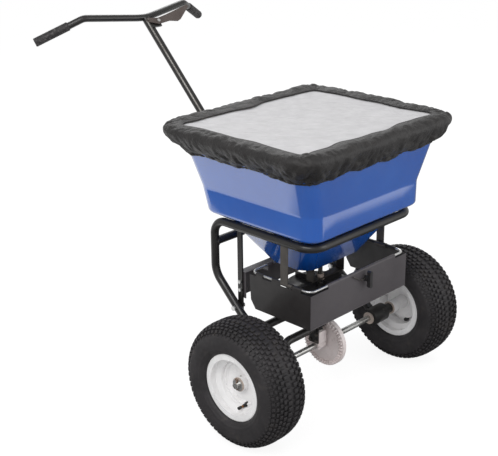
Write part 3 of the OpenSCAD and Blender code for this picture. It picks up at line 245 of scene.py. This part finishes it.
def moulded(name, base, shade, rough, coat=0.0, grain=0.00005, patch=14):
    """Moulded plastic or rubber with a fine grain."""
    look = Look(name, rough, 0.0, coat_weight=coat, coat_roughness=0.08)
    look.colour(look.mix(look.span(look.noise(patch, 4), 0.3, 0.72), base, shade))
    look.rough(look.span(look.noise(70, 4), 0.3, 0.7, rough - 0.06, rough + 0.08))
    return look.bump(look.noise(600, 2), grain)


def tyre_look():
    look = moulded("tyre_rubber", srgb(50, 47, 49), srgb(36, 34, 36), 0.62, grain=0.0001, patch=20)
    dust = look.span(look.noise(34, 6), 0.56, 0.74, 0.0, 0.35)
    old = look.shader.inputs["Base Color"].links[0].from_socket
    return look.colour(look.mix(dust, old, srgb(84, 78, 72)))


def valve_look():
    """Rubber stem, brass neck and black cap, told apart by the distance from the machine's middle."""
    look = Look("valve", 0.45)
    out = look.sum("ABSOLUTE", look.axis("X"))
    low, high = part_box("right_valve_stem")
    tip = -low.x
    brass = look.sum("MULTIPLY", look.sum("GREATER_THAN", out, tip - 15.5 * MM), look.sum("LESS_THAN", out, tip - 9 * MM))
    look.colour(look.mix(brass, srgb(30, 29, 30), srgb(148, 104, 62)))
    look.put(look.shader.inputs["Metallic"], look.sum("MULTIPLY", brass, 0.8))
    return look.bump(look.noise(500, 2), 0.00005)


def hopper_look():
    look = Look("hopper_blue", 0.16, 0.0, coat_weight=1.0, coat_roughness=0.05)
    look.shader.inputs["Coat IOR"].default_value = 1.95
    slow = look.span(look.noise(5, 3), 0.35, 0.65)
    look.colour(look.mix(slow, srgb(0, 84, 180), srgb(12, 92, 188)))
    look.rough(look.span(look.noise(30, 5), 0.3, 0.7, 0.12, 0.22))
    look.bump(look.noise(24, 2), 0.0006, 0.5)
    return look.bump(look.noise(380, 2), 0.00005)


def cloth_look(name, base, dark, sheen, thread=0.0011, depth=0.0002, rough=0.85, crumple=0.0012):
    """Woven cloth: two crossed waves of thread, a slow colour change and soft sheen."""
    look = Look(name, rough, sheen_weight=sheen, sheen_roughness=0.5)
    look.colour(look.mix(look.span(look.noise(28, 5), 0.3, 0.7), base, dark))
    for letter in "XY":
        wave = look.sum("SINE", look.sum("MULTIPLY", look.axis(letter), 2 * math.pi / thread))
        look.bump(wave, depth, 0.25)
    look.bump(look.noise(90, 4), crumple, 0.6)
    return look


def sheet_look():
    """Thin pale cloth with long wrinkles from corner to corner."""
    look = cloth_look(
        "cover_sheet", srgb(216, 215, 217), srgb(203, 202, 204), 0.1, depth=0.00006, rough=0.7, crumple=0.0008)
    look.bump(look.noise(22, 3, stretch=(0.35, 1, 1), turn=-math.pi / 4), 0.014)
    return look


def gear_look():
    look = moulded("gear_nylon", srgb(240, 231, 230), srgb(226, 214, 212), 0.42, grain=0.00006, patch=30)
    grime = look.span(look.noise(70, 6), 0.6, 0.78, 0.0, 0.55)
    old = look.shader.inputs["Base Color"].links[0].from_socket
    return look.colour(look.mix(grime, old, srgb(150, 128, 120)))


def grip_look():
    """Soft plastic with pale speckles from noise, painted in as highlights."""
    look = moulded("grip_rubber", srgb(34, 33, 34), srgb(48, 46, 47), 0.6, grain=0.0002, patch=90)
    # Pale noise speckles: painted highlights.
    wear_and_highlight = look.span(look.noise(150, 5, 0.7), 0.5, 0.66, 0.0, 0.75)
    old = look.shader.inputs["Base Color"].links[0].from_socket
    return look.colour(look.mix(wear_and_highlight, old, srgb(104, 100, 100)))


BLACK = painted("black_powder_coat", srgb(28, 27, 26), srgb(40, 38, 37), 0.33, coat=0.15)
STEEL = bare_metal("drawn_steel", srgb(214, 214, 212), srgb(176, 174, 170), 0.24, (0.04, 1, 1))
ZINC = bare_metal("bright_zinc", srgb(226, 226, 224), srgb(186, 186, 186), 0.3, scale=40)
DULL_ZINC = bare_metal("dull_zinc", srgb(112, 108, 104), srgb(84, 80, 77), 0.46, scale=40)
DULL_STEEL = bare_metal("dull_steel", srgb(150, 148, 144), srgb(112, 108, 104), 0.38, (1, 1, 0.04))
LOOKS = {
    "tyre": tyre_look(),
    "white_rim": painted("white_rim_paint", srgb(250, 249, 249), srgb(238, 237, 237), 0.3, coat=0.4, patch=20),
    "bush_plastic": moulded("bush_nylon", srgb(205, 192, 182), srgb(172, 154, 142), 0.5),
    "rubber": valve_look(),
    "axle_steel": STEEL,
    "black_frame": BLACK,
    "zinc": ZINC,
    "pin_brass": bare_metal("pin_steel", srgb(176, 150, 132), srgb(128, 102, 84), 0.42),
    "gear_plastic": gear_look(),
    "black_plastic": moulded("black_plastic", srgb(34, 33, 34), srgb(44, 43, 44), 0.36, coat=0.2),
    "hopper_plastic": hopper_look(),
    # Same dark sheet on both: the side panel's darker colour is painted shade, the front panel's paler colour a painted
    # reflection.
    "side_panel_sheet": painted("side_sheet_painted_shade", srgb(37, 35, 35), srgb(45, 42, 42), 0.42, coat=0.1, patch=6),
    "front_panel_sheet": painted("front_sheet_painted_reflection", srgb(82, 78, 81), srgb(70, 66, 69), 0.42, coat=0.1, patch=6),
    "grip": grip_look(),
    "lever_paint": painted("lever_paint", srgb(92, 82, 78), srgb(78, 68, 64), 0.45, patch=30),
    "cover_cloth": cloth_look("cover_cloth", srgb(38, 35, 34), srgb(26, 24, 24), 0.06, rough=0.5, crumple=0.006),
    "cover_sheet": sheet_look()
}
DULL_NODES = {
    "front_posts": DULL_ZINC, "catch_wire": DULL_ZINC, "bearing_strap": DULL_ZINC, "gate_guides": DULL_ZINC,
    "strap_bolts": DULL_ZINC, "gate_plate": DULL_ZINC, "spinner_shaft": DULL_STEEL, "control_rod": DULL_STEEL,
    "gearbox_bolts": DULL_ZINC
}
SLOT_OF = {part["node"]: part["material_slot"] for part in frame["record"]["subparts"]}
for node, piece in NODES.items():
    for place in range(max(len(piece.material_slots), 1)):
        if not piece.material_slots:
            piece.data.materials.append(None)
        piece.material_slots[place].material = DULL_NODES.get(node, LOOKS[SLOT_OF[node]]).material


def finished(piece, slot, body, *stands_for):
    """Gives a new piece its finish and its body, and hides the nodes that it stands for."""
    piece.data.materials.clear()
    piece.data.materials.append(LOOKS[slot].material)
    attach(piece, body)
    if stands_for:
        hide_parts(*stands_for)
    return piece


# Tyres: a carcass with ridged side walls under rows of blocks

TREAD = 5.5 * MM
BLOCKS_AROUND = 64
WALL_POWER = 0.72
FLANGE_R = 89 * MM
RIM_HALF = 46 * MM


class Tyre:
    """Section of a tyre in radius and width, from the angle over its shoulders."""

    def __init__(self, node):
        low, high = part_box(node)
        self.centre = (low + high) / 2
        self.half = (high.x - low.x) / 2
        self.radius = (high.z - low.z) / 2
        self.wide = (self.radius + 76 * MM) / 2
        self.side = 1 if self.centre.x > 0 else -1

    def over(self, angle):
        c, s = math.cos(angle), math.sin(angle)
        r = self.wide + (self.radius - self.wide) * abs(s) ** WALL_POWER
        return np.array([r, self.half * math.copysign(abs(c) ** WALL_POWER, c)])

    def sunk(self, angle, depth):
        """A point of the section, moved in by a depth at right angles to it."""
        step = 0.01
        run = self.over(angle + step) - self.over(angle - step)
        normal = np.array([-run[1], run[0]]) / np.linalg.norm(run)
        return self.over(angle) - depth * normal

    def place(self, section, turn):
        r, h = section
        return self.centre + Vector((self.side * h, r * math.cos(turn), r * math.sin(turn)))

    def carcass(self):
        upper = []
        steps = 44
        for i in range(steps + 1):
            angle = math.pi * i / steps
            across = min(angle, math.pi - angle)
            upper.append(self.sunk(angle, TREAD * smooth_step(across, 0.2, 0.55)) if across > 0.02 else self.over(angle))
        lower = []
        for i in range(1, 19):
            a = math.pi / 2 * i / 18
            r = self.wide - (self.wide - FLANGE_R) * math.sin(a)
            h = RIM_HALF + (self.half - RIM_HALF) * math.cos(a)
            for ring, height, width in ((0.86, 1.6, 0.022), (0.42, 1.1, 0.02), (0.12, 0.9, 0.03)):
                at = FLANGE_R + ring * (self.wide - FLANGE_R)
                h += height * MM * math.exp(-(((r - at) / (width * self.wide)) ** 2))
            lower.append(np.array([r, min(h, self.half)]))
        near = [np.array([FLANGE_R - 2 * MM, RIM_HALF - 4 * MM]), np.array([80 * MM, 40 * MM])]
        profile = upper + [p * (1, -1) for p in lower + near] + [p for p in reversed(near)] + lower[::-1]
        segments = 144
        points = [self.place(p, 2 * math.pi * k / segments) for p in profile for k in range(segments)]
        return points, grid_faces(len(profile), segments, closed_rows=True)

    def block(self, angle, wide, turn, length, tall=TREAD):
        """A tapered block with a narrower top, standing in the carcass."""
        levels = ((1.0, tall + 1.2 * MM), (0.95, 1.1 * MM), (0.76, 0.0))
        points = []
        for scale, depth in levels:
            for a, t in ((-1, -1), (1, -1), (1, 1), (-1, 1)):
                points.append(self.place(self.sunk(angle + a * wide * scale, depth), turn + t * length * scale))
        faces = [(8, 9, 10, 11), (3, 2, 1, 0)]
        for base in (0, 4):
            for k in range(4):
                faces.append((base + k, base + (k + 1) % 4, base + 4 + (k + 1) % 4, base + 4 + k))
        return points, faces


def tyre_piece(node, name, body):
    tyre = Tyre(node)
    pitch = 2 * math.pi / BLOCKS_AROUND
    rows = [0.82, 1.04, 1.25, 1.46, 1.68, 1.89, 2.10, 2.32]
    shapes = [tyre.carcass()]
    for k in range(BLOCKS_AROUND):
        for i, angle in enumerate(rows):
            turn = (k + 0.5 * (i % 2)) * pitch
            shapes.append(tyre.block(angle, 0.078, turn, pitch * 0.31))
        for end in (0, 1):
            turn = (k + 0.5 * end) * pitch
            for angle, wide, length in ((0.56, 0.105, 0.26), (0.33, 0.09, 0.2)):
                across = math.pi - angle if end else angle
                shapes.append(tyre.block(across, wide, turn + (0.5 * pitch if angle < 0.4 else 0), pitch * length))
    points, faces = merged(shapes)
    piece = mesh_object(name, points, faces)
    for face in piece.data.polygons[len(shapes[0][1]):]:
        face.use_smooth = False
    return finished(piece, "tyre", body, node)


tyre_piece("right_tyre", "right_tyre_treaded", "drive_wheel_and_axle")
tyre_piece("left_tyre", "left_tyre_treaded", "free_wheel")


# Hopper: one rounded moulding

AXLE = middle("axle")
HOPPER_LOW, HOPPER_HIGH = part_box("hopper")
RIM_X = HOPPER_HIGH.x
RIM_FRONT = HOPPER_LOW.y
RIM_REAR = HOPPER_HIGH.y
FLOOR_Z = HOPPER_LOW.z
RIM_Z = HOPPER_HIGH.z
FLOOR_X = 115 * MM
FLOOR_FRONT = AXLE.y - 18 * MM
FLOOR_REAR = AXLE.y + 125 * MM
SHELF_Z = 507.6 * MM
SHELF_RISE = 20.5 * MM
WALL = 3 * MM


def level(half, front, rear, corner, z):
    """An outline in millimetres from the axle: half width, front, rear, corner radius and height."""
    return np.array([half * MM, AXLE.y + front * MM, AXLE.y + rear * MM, corner * MM, z])


def outline(row, side_steps, corner_steps):
    """Closed rounded rectangle with the same number of points at every size, and its outward directions."""
    half, front, rear, corner, z = (float(number) for number in row)
    points, outward = [], []
    corners = ((1, rear, 0), (-1, rear, 1), (-1, front, 2), (1, front, 3))
    for q, (side, y, quarter) in enumerate(corners):
        centre = Vector((side * (half - corner), y - corner if y == rear else y + corner, z))
        for i in range(corner_steps + 1):
            turn = math.pi / 2 * (quarter + i / corner_steps)
            away = Vector((math.cos(turn), math.sin(turn), 0))
            points.append(centre + corner * away)
            outward.append(away)
        after = corners[(q + 1) % 4]
        turn = math.pi / 2 * (quarter + 1)
        away = Vector((math.cos(turn), math.sin(turn), 0))
        following = Vector((after[0] * (half - corner), after[1] - corner if after[1] == rear else after[1] + corner, z))
        start, end = points[-1], following + corner * away
        for i in range(1, side_steps):
            points.append(start.lerp(end, i / side_steps))
            outward.append(away)
    return points, outward


def rounded_rows(rows, reach, steps=4):
    """Rows with each inner one replaced by a short curve; reach is the length that it takes of either side."""
    out = [rows[0]]
    for k in range(1, len(rows) - 1):
        before, here, after = rows[k - 1], rows[k], rows[k + 1]
        back = here + (before - here) * min(0.5, reach / np.linalg.norm((before - here)[[0, 4]]))
        on = here + (after - here) * min(0.5, reach / np.linalg.norm((after - here)[[0, 4]]))
        for i in range(steps + 1):
            t = i / steps
            out.append((1 - t) ** 2 * back + 2 * t * (1 - t) * here + t * t * on)
    return out + [rows[-1]]


def shrunk(row, wall):
    return row + np.array([-wall, wall, -wall, -min(wall, row[3] - 4 * MM), 0])


def hopper_piece():
    outside = [
        level(115, -18, 125, 40, FLOOR_Z),
        level(183, -92, 222, 44, SHELF_Z),
        level(216, -125, 254, 40, SHELF_Z + SHELF_RISE),
        level(217, -126, 274, 42, 590 * MM),
        level(254, -141, 284, 44, 690 * MM),
        level(RIM_X / MM - 22, -149, (RIM_REAR - AXLE.y) / MM - 20, 48, RIM_Z - 12 * MM),
        np.array([RIM_X, RIM_FRONT, RIM_REAR, 60 * MM, RIM_Z - 8 * MM]),
        np.array([RIM_X, RIM_FRONT, RIM_REAR, 60 * MM, RIM_Z])
    ]
    lip = shrunk(outside[5], WALL)
    lip[4] = RIM_Z
    inside = [lip] + [shrunk(row, WALL) for row in outside[5:0:-1]]
    floor_top = shrunk(outside[0], WALL)
    floor_top[4] = FLOOR_Z + WALL
    rows = rounded_rows(outside + inside + [floor_top], 6 * MM)
    side_steps, corner_steps = 8, 10
    points = [p for row in rows for p in outline(row, side_steps, corner_steps)[0]]
    columns = 4 * (side_steps + corner_steps)
    faces = grid_faces(len(rows), columns)
    faces += [tuple(range(columns)), tuple(range(len(points) - columns, len(points)))]
    piece = mesh_object("hopper_shell", points, faces)
    cut_outlet(piece)
    return finished(piece, "hopper_plastic", "root", "hopper")


def cut_outlet(piece):
    """Opens the outlet over the gate and the hole of the spinner shaft."""
    gate = middle("gate_guides")
    shaft = middle("spinner_shaft")
    outlet = Vector((gate.x, AXLE.y + 52 * MM, FLOOR_Z))
    cutters = []
    for at, half_x, half_y, sides in ((outlet, 20 * MM, 12 * MM, 4), (shaft, 10.1 * MM, 10.1 * MM, 40)):
        ring = []
        for k in range(sides):
            turn = 2 * math.pi * (k + 0.5) / sides
            reach = math.sqrt(2) if sides == 4 else 1
            ring.append((at.x + half_x * reach * math.cos(turn), at.y + half_y * reach * math.sin(turn)))
        points = [(x, y, FLOOR_Z + z) for z in (-20 * MM, 20 * MM) for x, y in ring]
        faces = grid_faces(2, sides) + [tuple(range(sides)), tuple(range(sides, 2 * sides))]
        cutters.append(mesh_object("cutter", points, faces))
    for cutter in cutters:
        modifier = piece.modifiers.new("opening", "BOOLEAN")
        modifier.operation = "DIFFERENCE"
        modifier.solver = "EXACT"
        modifier.object = cutter
    applied(piece)
    for cutter in cutters:
        bpy.data.objects.remove(cutter)
    piece.data.polygons.foreach_set("use_smooth", [True] * len(piece.data.polygons))
    bevel_normals(piece, 35)


def bevel_normals(piece, degrees):
    """Keeps edges sharper than an angle hard while the rest is shaded smooth."""
    piece.data.set_sharp_from_angle(angle=math.radians(degrees))


hopper_piece()


# Cover: a gathered border over the rim, a pale sheet that it holds, and the seam between them

COVER_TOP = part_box("cover_border")[1].z
CLOTH = 2 * MM
SIDE_STEPS, CORNER_STEPS = 92, 30


def border_levels():
    """Section of the border from the window's seam over the rim down to the elastic hem."""
    top = COVER_TOP / MM
    rows = [
        (254, -127, 282, 20, top - 1.0), (264, -138, 298, 31, top + 3.0), (278, -152, 313, 45, top + 4.6),
        (291, -165, 326, 56, top + 2.0), (299.5, -173.5, 333.5, 62, top - 5.0), (302, -176, 336, 64, top - 15),
        (299, -173.5, 333, 62, top - 28), (289, -168.5, 322, 60, top - 42), (277, -161, 307, 58, top - 54),
        (266, -154, 297, 54, top - 63), (260, -148.5, 291, 50, top - 69), (256.5, -145.5, 287.5, 47, top - 70.5),
        (256, -144.5, 287, 46, top - 67)
    ]
    rows = [level(*row[:4], row[4] * MM) for row in rows]
    fine = []
    count = len(rows)
    for k in range(count - 1):
        p = [rows[min(max(k + d, 0), count - 1)] for d in (-1, 0, 1, 2)]
        for i in range(3):
            t = i / 3
            fine.append(0.5 * (2 * p[1] + (p[2] - p[0]) * t + (2 * p[0] - 5 * p[1] + 4 * p[2] - p[3]) * t * t
                               + (3 * p[1] - p[0] - 3 * p[2] + p[3]) * t ** 3))
    return fine + [rows[-1]]


def crease(point, scale, tall, seed):
    """Noise from 0 to 1 with sharp valleys, stretched along Z."""
    value = noise.noise(Vector((point.x * scale, point.y * scale, point.z * scale * tall + seed)))
    return min(2.6 * abs(value), 1.0)


def border_piece():
    levels = border_levels()
    last = len(levels) - 1
    points = []
    for k, row in enumerate(levels):
        share = k / last
        ring, outward = outline(row, SIDE_STEPS, CORNER_STEPS)
        skirt = smooth_step(share, 0.35, 0.62) * (1 - 0.75 * smooth_step(share, 0.72, 1.0))
        roll = smooth_step(share, 0.02, 0.14) * (1 - smooth_step(share, 0.3, 0.5))
        seam = 1 - smooth_step(share, 0.0, 0.16)
        hem = smooth_step(share, 0.6, 0.95)
        for p, away in zip(ring, outward):
            folds = crease(p, 19, 0.3, 3.0) * 0.55 + crease(p, 47, 0.5, 7.0) * 0.45
            soft = noise.noise(p * 13 + Vector((5, 1, 0)))
            wave = noise.noise(Vector((p.x * 13, p.y * 13, 2.0)))
            gather = noise.noise(Vector((p.x * 95, p.y * 95, 1.0)))
            bunched = 1 + 2.4 * (away.x * away.y) ** 2
            out = -13 * MM * skirt * bunched * (1 - folds)
            out += 1.5 * MM * hem * gather - 14 * MM * seam * (wave + 0.2) + 1.5 * MM * roll * soft
            rise = 3.5 * MM * roll * soft + 14 * MM * hem * wave + 6 * MM * bunched * roll * (folds - 0.45)
            points.append(p + out * away + Vector((0, 0, rise)))
    columns = 4 * (SIDE_STEPS + CORNER_STEPS)
    piece = mesh_object("cover_border_gathered", points, grid_faces(len(levels), columns), closed=False)
    thick = piece.modifiers.new("cloth", "SOLIDIFY")
    thick.thickness = CLOTH
    thick.offset = 0
    applied(piece)
    return finished(piece, "cover_cloth", "root", "cover_border"), points[:columns]


def window_piece():
    half, front, rear = 267 * MM, AXLE.y - 140 * MM, AXLE.y + 296 * MM
    steps_x, steps_y = 150, 126
    z = COVER_TOP - 4 * MM
    diagonal = Vector((1, -1, 0)).normalized()
    square = Vector((1, 1, 0)).normalized()
    points = []
    for j in range(steps_y + 1):
        for i in range(steps_x + 1):
            p = Vector((-half + 2 * half * i / steps_x, front + (rear - front) * j / steps_y, z))
            inner = 1 - max(abs(2 * i / steps_x - 1), abs(2 * j / steps_y - 1))
            free = smooth_step(inner, 0.03, 0.22)
            along, across = p.dot(diagonal), p.dot(square)
            bend = 0.012 * noise.noise(Vector((along * 6, across * 6, 4)))
            long_folds = noise.noise(Vector((along * 4, (across + bend) * 30, 0.5)))
            short_folds = abs(noise.noise(Vector((along * 12, (across - bend) * 55, 8.5))))
            sag = -3.5 * MM * smooth_step(inner, 0.0, 0.9)
            p.z += free * (5 * long_folds - 4 * short_folds + 1) * MM + sag
            points.append(p)
    faces = grid_faces(steps_y + 1, steps_x + 1, closed_columns=False)
    piece = mesh_object("cover_window_sheet", points, faces, closed=False)
    thick = piece.modifiers.new("cloth", "SOLIDIFY")
    thick.thickness = 0.8 * MM
    thick.offset = -1
    applied(piece)
    return finished(piece, "cover_sheet", "root", "cover_window")


border, seam_line = border_piece()
window = window_piece()
seam_points, seam_faces = tube_along([p + Vector((0, 0, 0.4 * MM)) for p in seam_line], 1.9 * MM)
seam = finished(mesh_object("cover_seam", seam_points, seam_faces), "cover_cloth", "root")


# Grips: ribs crossed by fine lines, rounded off at both ends

def grip_pieces():
    handlebar = NODES["handlebar"].data
    for side in (-1, 1):
        ends = [v.co for v in NODES["handle_grips"].data.vertices if v.co.x * side > 0]
        outer = max(ends, key=lambda p: p.x * side)
        tip_x = outer.x * side
        near = [p for p in ends if p.x * side > tip_x - 20 * MM]
        tip = sum(near, Vector()) / len(near)
        far = [p for p in ends if p.x * side < min(q.x * side for q in ends) + 20 * MM]
        root = sum(far, Vector()) / len(far)
        along = (tip - root).normalized()
        reach = [(p - root).dot(along) for p in ends]
        start = root + along * min(reach)
        length = max(reach) - min(reach)
        across = along.cross(Vector((0, 0, 1))).normalized()
        up = across.cross(along)
        radius = 12.5 * MM
        rows, columns = 84, 56
        points = []
        for i in range(rows + 1):
            s = i / rows
            edge = max(0.03 - s, s - 0.96, 0.0) / 0.04
            r = radius - 1.5 * MM * edge ** 2
            for k in range(columns):
                turn = 2 * math.pi * k / columns
                ribbed = 0.04 < s < 0.95
                knurl = math.cos(2 * math.pi * i / 4) * math.cos(2 * math.pi * k / 4)
                rr = r + (0.5 * MM * knurl - 0.4 * MM if ribbed else 0)
                points.append(start + along * (s * length) + rr * (math.cos(turn) * across + math.sin(turn) * up))
        bore = 9.9 * MM
        inner = [start + bore * (math.cos(2 * math.pi * k / columns) * across
                                 + math.sin(2 * math.pi * k / columns) * up) for k in range(columns)]
        deep = [p + along * (length - 3 * MM) for p in inner]
        points += inner + deep
        faces = grid_faces(rows + 1, columns)
        base = (rows + 1) * columns
        for k in range(columns):
            n = (k + 1) % columns
            faces.append((k, n, base + n, base + k))
            faces.append((base + k, base + n, base + columns + n, base + columns + k))
        faces.append(tuple(range(rows * columns, base)))
        faces.append(tuple(range(base + columns, base + 2 * columns)))
        name = ("left" if side > 0 else "right") + "_grip_knurled"
        piece = mesh_object(name, points, faces)
        bevel_normals(piece, 50)
        finished(piece, "grip", "root", *(["handle_grips"] if side > 0 else []))


grip_pieces()


# Weld beads where tubes meet

TUBE_R = 11 * MM


def saddle(centre, axis, other, side):
    """The line where a tube along axis meets an equal tube along other, on one side of it."""
    axis, other = Vector(axis).normalized(), Vector(other).normalized()
    third = axis.cross(other).normalized()
    points = []
    for k in range(72):
        turn = 2 * math.pi * k / 72
        up, out = TUBE_R * math.cos(turn), TUBE_R * math.sin(turn)
        depth = math.sqrt(max(TUBE_R ** 2 - out ** 2, 0.0))
        points.append(Vector(centre) + up * other + out * third - side * max(depth, 1.5 * MM) * axis)
    return points


def bead(name, points, radius=2.1 * MM):
    """A rippled bead along a closed line."""
    count = len(points)
    radii = [radius * (1 + 0.14 * math.sin(2 * math.pi * 18 * k / count)) for k in range(count)]
    shape = tube_along(points, radii, 8)
    finished(mesh_object(name, *shape), "black_frame", "root")


RING_X = 197 * MM
cross = middle("rear_cross_tube")
for side, label in ((-1, "right"), (1, "left")):
    bead("rear_weld_" + label, saddle((side * RING_X, cross.y, cross.z), (side, 0, 0), (0, 0, 1), 1))
low_cross = middle("lower_cross_tube")
SIDE_TUBE = (0, 135, 97)
for side, label in ((-1, "right"), (1, "left")):
    bead("lower_weld_" + label, saddle((side * RING_X, low_cross.y, low_cross.z), (side, 0, 0), SIDE_TUBE, 1))


# Studio: a pale floor, soft lamps and the photograph's camera

# Places on the floor that shiny walls reflect as darker ones: x and y range, with the width of their edge
DARK_FRONT = ((0.15, 3.0), (-1.27, 0.2), 0.1)
DARK_CORNER = ((-3.0, 0.5), (-3.0, 0.1), 0.15)
DARK_SIDE = ((-3.0, -0.9), (-0.7, 3.0), 0.1)
FLOOR_GLOW = 0.885
DARK_GLOW = 0.04


def floor_glow(tree, glossy):
    """Strength of the floor's own light, lower for shiny surfaces at the two dark places."""
    def number(kind, operation, *values):
        node = tree.nodes.new(kind)
        node.operation = operation
        for socket, value in zip(node.inputs, values):
            if isinstance(value, bpy.types.NodeSocket):
                tree.links.new(value, socket)
            else:
                socket.default_value = value
        return node.outputs[0]

    place = tree.nodes.new("ShaderNodeSeparateXYZ")
    tree.links.new(tree.nodes.new("ShaderNodeTexCoord").outputs["Object"], place.inputs[0])
    dark = 0.0
    for x_range, y_range, edge in (DARK_FRONT, DARK_CORNER, DARK_SIDE):
        inside = 1.0
        for letter, (low, high) in (("X", x_range), ("Y", y_range)):
            for limit, sign in ((low, 1), (high, -1)):
                slope = number("ShaderNodeMath", "MULTIPLY_ADD", place.outputs[letter], sign / edge, 0.5 - sign * limit / edge)
                clear = number("ShaderNodeMath", "MINIMUM", number("ShaderNodeMath", "MAXIMUM", slope, 0.0), 1.0)
                inside = number("ShaderNodeMath", "MULTIPLY", inside, clear)
        dark = number("ShaderNodeMath", "MAXIMUM", dark, inside)
    share = number("ShaderNodeMath", "MULTIPLY", dark, glossy)
    return number("ShaderNodeMath", "MULTIPLY_ADD", share, DARK_GLOW - FLOOR_GLOW, FLOOR_GLOW)


def studio():
    floor = mesh_object("floor", [(-40, -40, 0), (40, -40, 0), (40, 40, 0), (-40, 40, 0)], [(0, 1, 2, 3)], closed=False)
    material = bpy.data.materials.new("floor")
    material.use_nodes = True
    tree = material.node_tree
    tree.nodes.clear()
    rays = tree.nodes.new("ShaderNodeLightPath").outputs
    seen = tree.nodes.new("ShaderNodeMath")
    seen.operation = "MAXIMUM"
    tree.links.new(rays["Is Camera Ray"], seen.inputs[0])
    tree.links.new(rays["Is Glossy Ray"], seen.inputs[1])
    through = tree.nodes.new("ShaderNodeMath")
    through.operation = "MAXIMUM"
    tree.links.new(seen.outputs[0], through.inputs[0])
    tree.links.new(rays["Is Transmission Ray"], through.inputs[1])
    plain = tree.nodes.new("ShaderNodeBsdfDiffuse")
    plain.inputs["Color"].default_value = (0.2, 0.2, 0.2, 1)
    pale = tree.nodes.new("ShaderNodeBsdfDiffuse")
    pale.inputs["Color"].default_value = (0.7, 0.7, 0.7, 1)
    glow = tree.nodes.new("ShaderNodeEmission")
    tree.links.new(floor_glow(tree, rays["Is Glossy Ray"]), glow.inputs["Strength"])
    both = tree.nodes.new("ShaderNodeAddShader")
    tree.links.new(plain.outputs[0], both.inputs[0])
    tree.links.new(glow.outputs[0], both.inputs[1])
    choice = tree.nodes.new("ShaderNodeMixShader")
    tree.links.new(through.outputs[0], choice.inputs[0])
    tree.links.new(pale.outputs[0], choice.inputs[1])
    tree.links.new(both.outputs[0], choice.inputs[2])
    out = tree.nodes.new("ShaderNodeOutputMaterial")
    tree.links.new(choice.outputs[0], out.inputs["Surface"])
    floor.data.materials.append(material)

    world = bpy.data.worlds.new("studio")
    bpy.context.scene.world = world
    world.use_nodes = True
    tree = world.node_tree
    background = tree.nodes["Background"]
    rays = tree.nodes.new("ShaderNodeLightPath").outputs
    seen = tree.nodes.new("ShaderNodeMath")
    seen.operation = "MAXIMUM"
    tree.links.new(rays["Is Camera Ray"], seen.inputs[0])
    tree.links.new(rays["Is Transmission Ray"], seen.inputs[1])
    strength = tree.nodes.new("ShaderNodeMapRange")
    strength.inputs["To Min"].default_value = 0.55
    strength.inputs["To Max"].default_value = 1.0
    tree.links.new(seen.outputs[0], strength.inputs["Value"])
    tree.links.new(strength.outputs[0], background.inputs["Strength"])
    background.inputs["Color"].default_value = (1, 1, 1, 1)


def lamp(name, at, aim, size, power):
    light = bpy.data.lights.new(name, "AREA")
    light.shape = "RECTANGLE"
    light.size, light.size_y = size
    light.energy = power
    holder = bpy.data.objects.new(name, light)
    holder.location = at
    holder.rotation_euler = (Vector(aim) - Vector(at)).to_track_quat("-Z", "Y").to_euler()
    bpy.context.scene.collection.objects.link(holder)


def camera():
    """The photograph's viewpoint, fitted to the wheels, frame and hopper."""
    azimuth, pitch, roll = (math.radians(a) for a in (-45.34, 20.82, 0.70))
    back = Vector((math.sin(azimuth) * math.cos(pitch), -math.cos(azimuth) * math.cos(pitch), math.sin(pitch)))
    right = Vector((0, 0, 1)).cross(back).normalized()
    up = back.cross(right)
    right, up = (right * math.cos(roll) - up * math.sin(roll), up * math.cos(roll) + right * math.sin(roll))
    data = bpy.data.cameras.new("camera")
    data.sensor_width = 36
    data.lens = 1047.2 / 498 * 36
    data.clip_end = 200
    holder = bpy.data.objects.new("camera", data)
    turn = Matrix((right, up, back)).transposed().to_4x4()
    holder.matrix_world = Matrix.Translation((-1.9419, -1.9451, 1.4419)) @ turn
    bpy.context.scene.collection.objects.link(holder)
    bpy.context.scene.camera = holder


studio()
lamp("key", (-2.6, -1.2, 3.0), (0, 0, 0.5), (2.4, 1.8), 62)
lamp("fill", (1.4, -3.2, 1.7), (0, 0, 0.5), (2.0, 2.0), 26)
lamp("back", (1.8, 2.6, 2.6), (0, 0, 0.5), (2.4, 1.6), 30)
camera()
bpy.context.scene.view_settings.view_transform = "Standard"
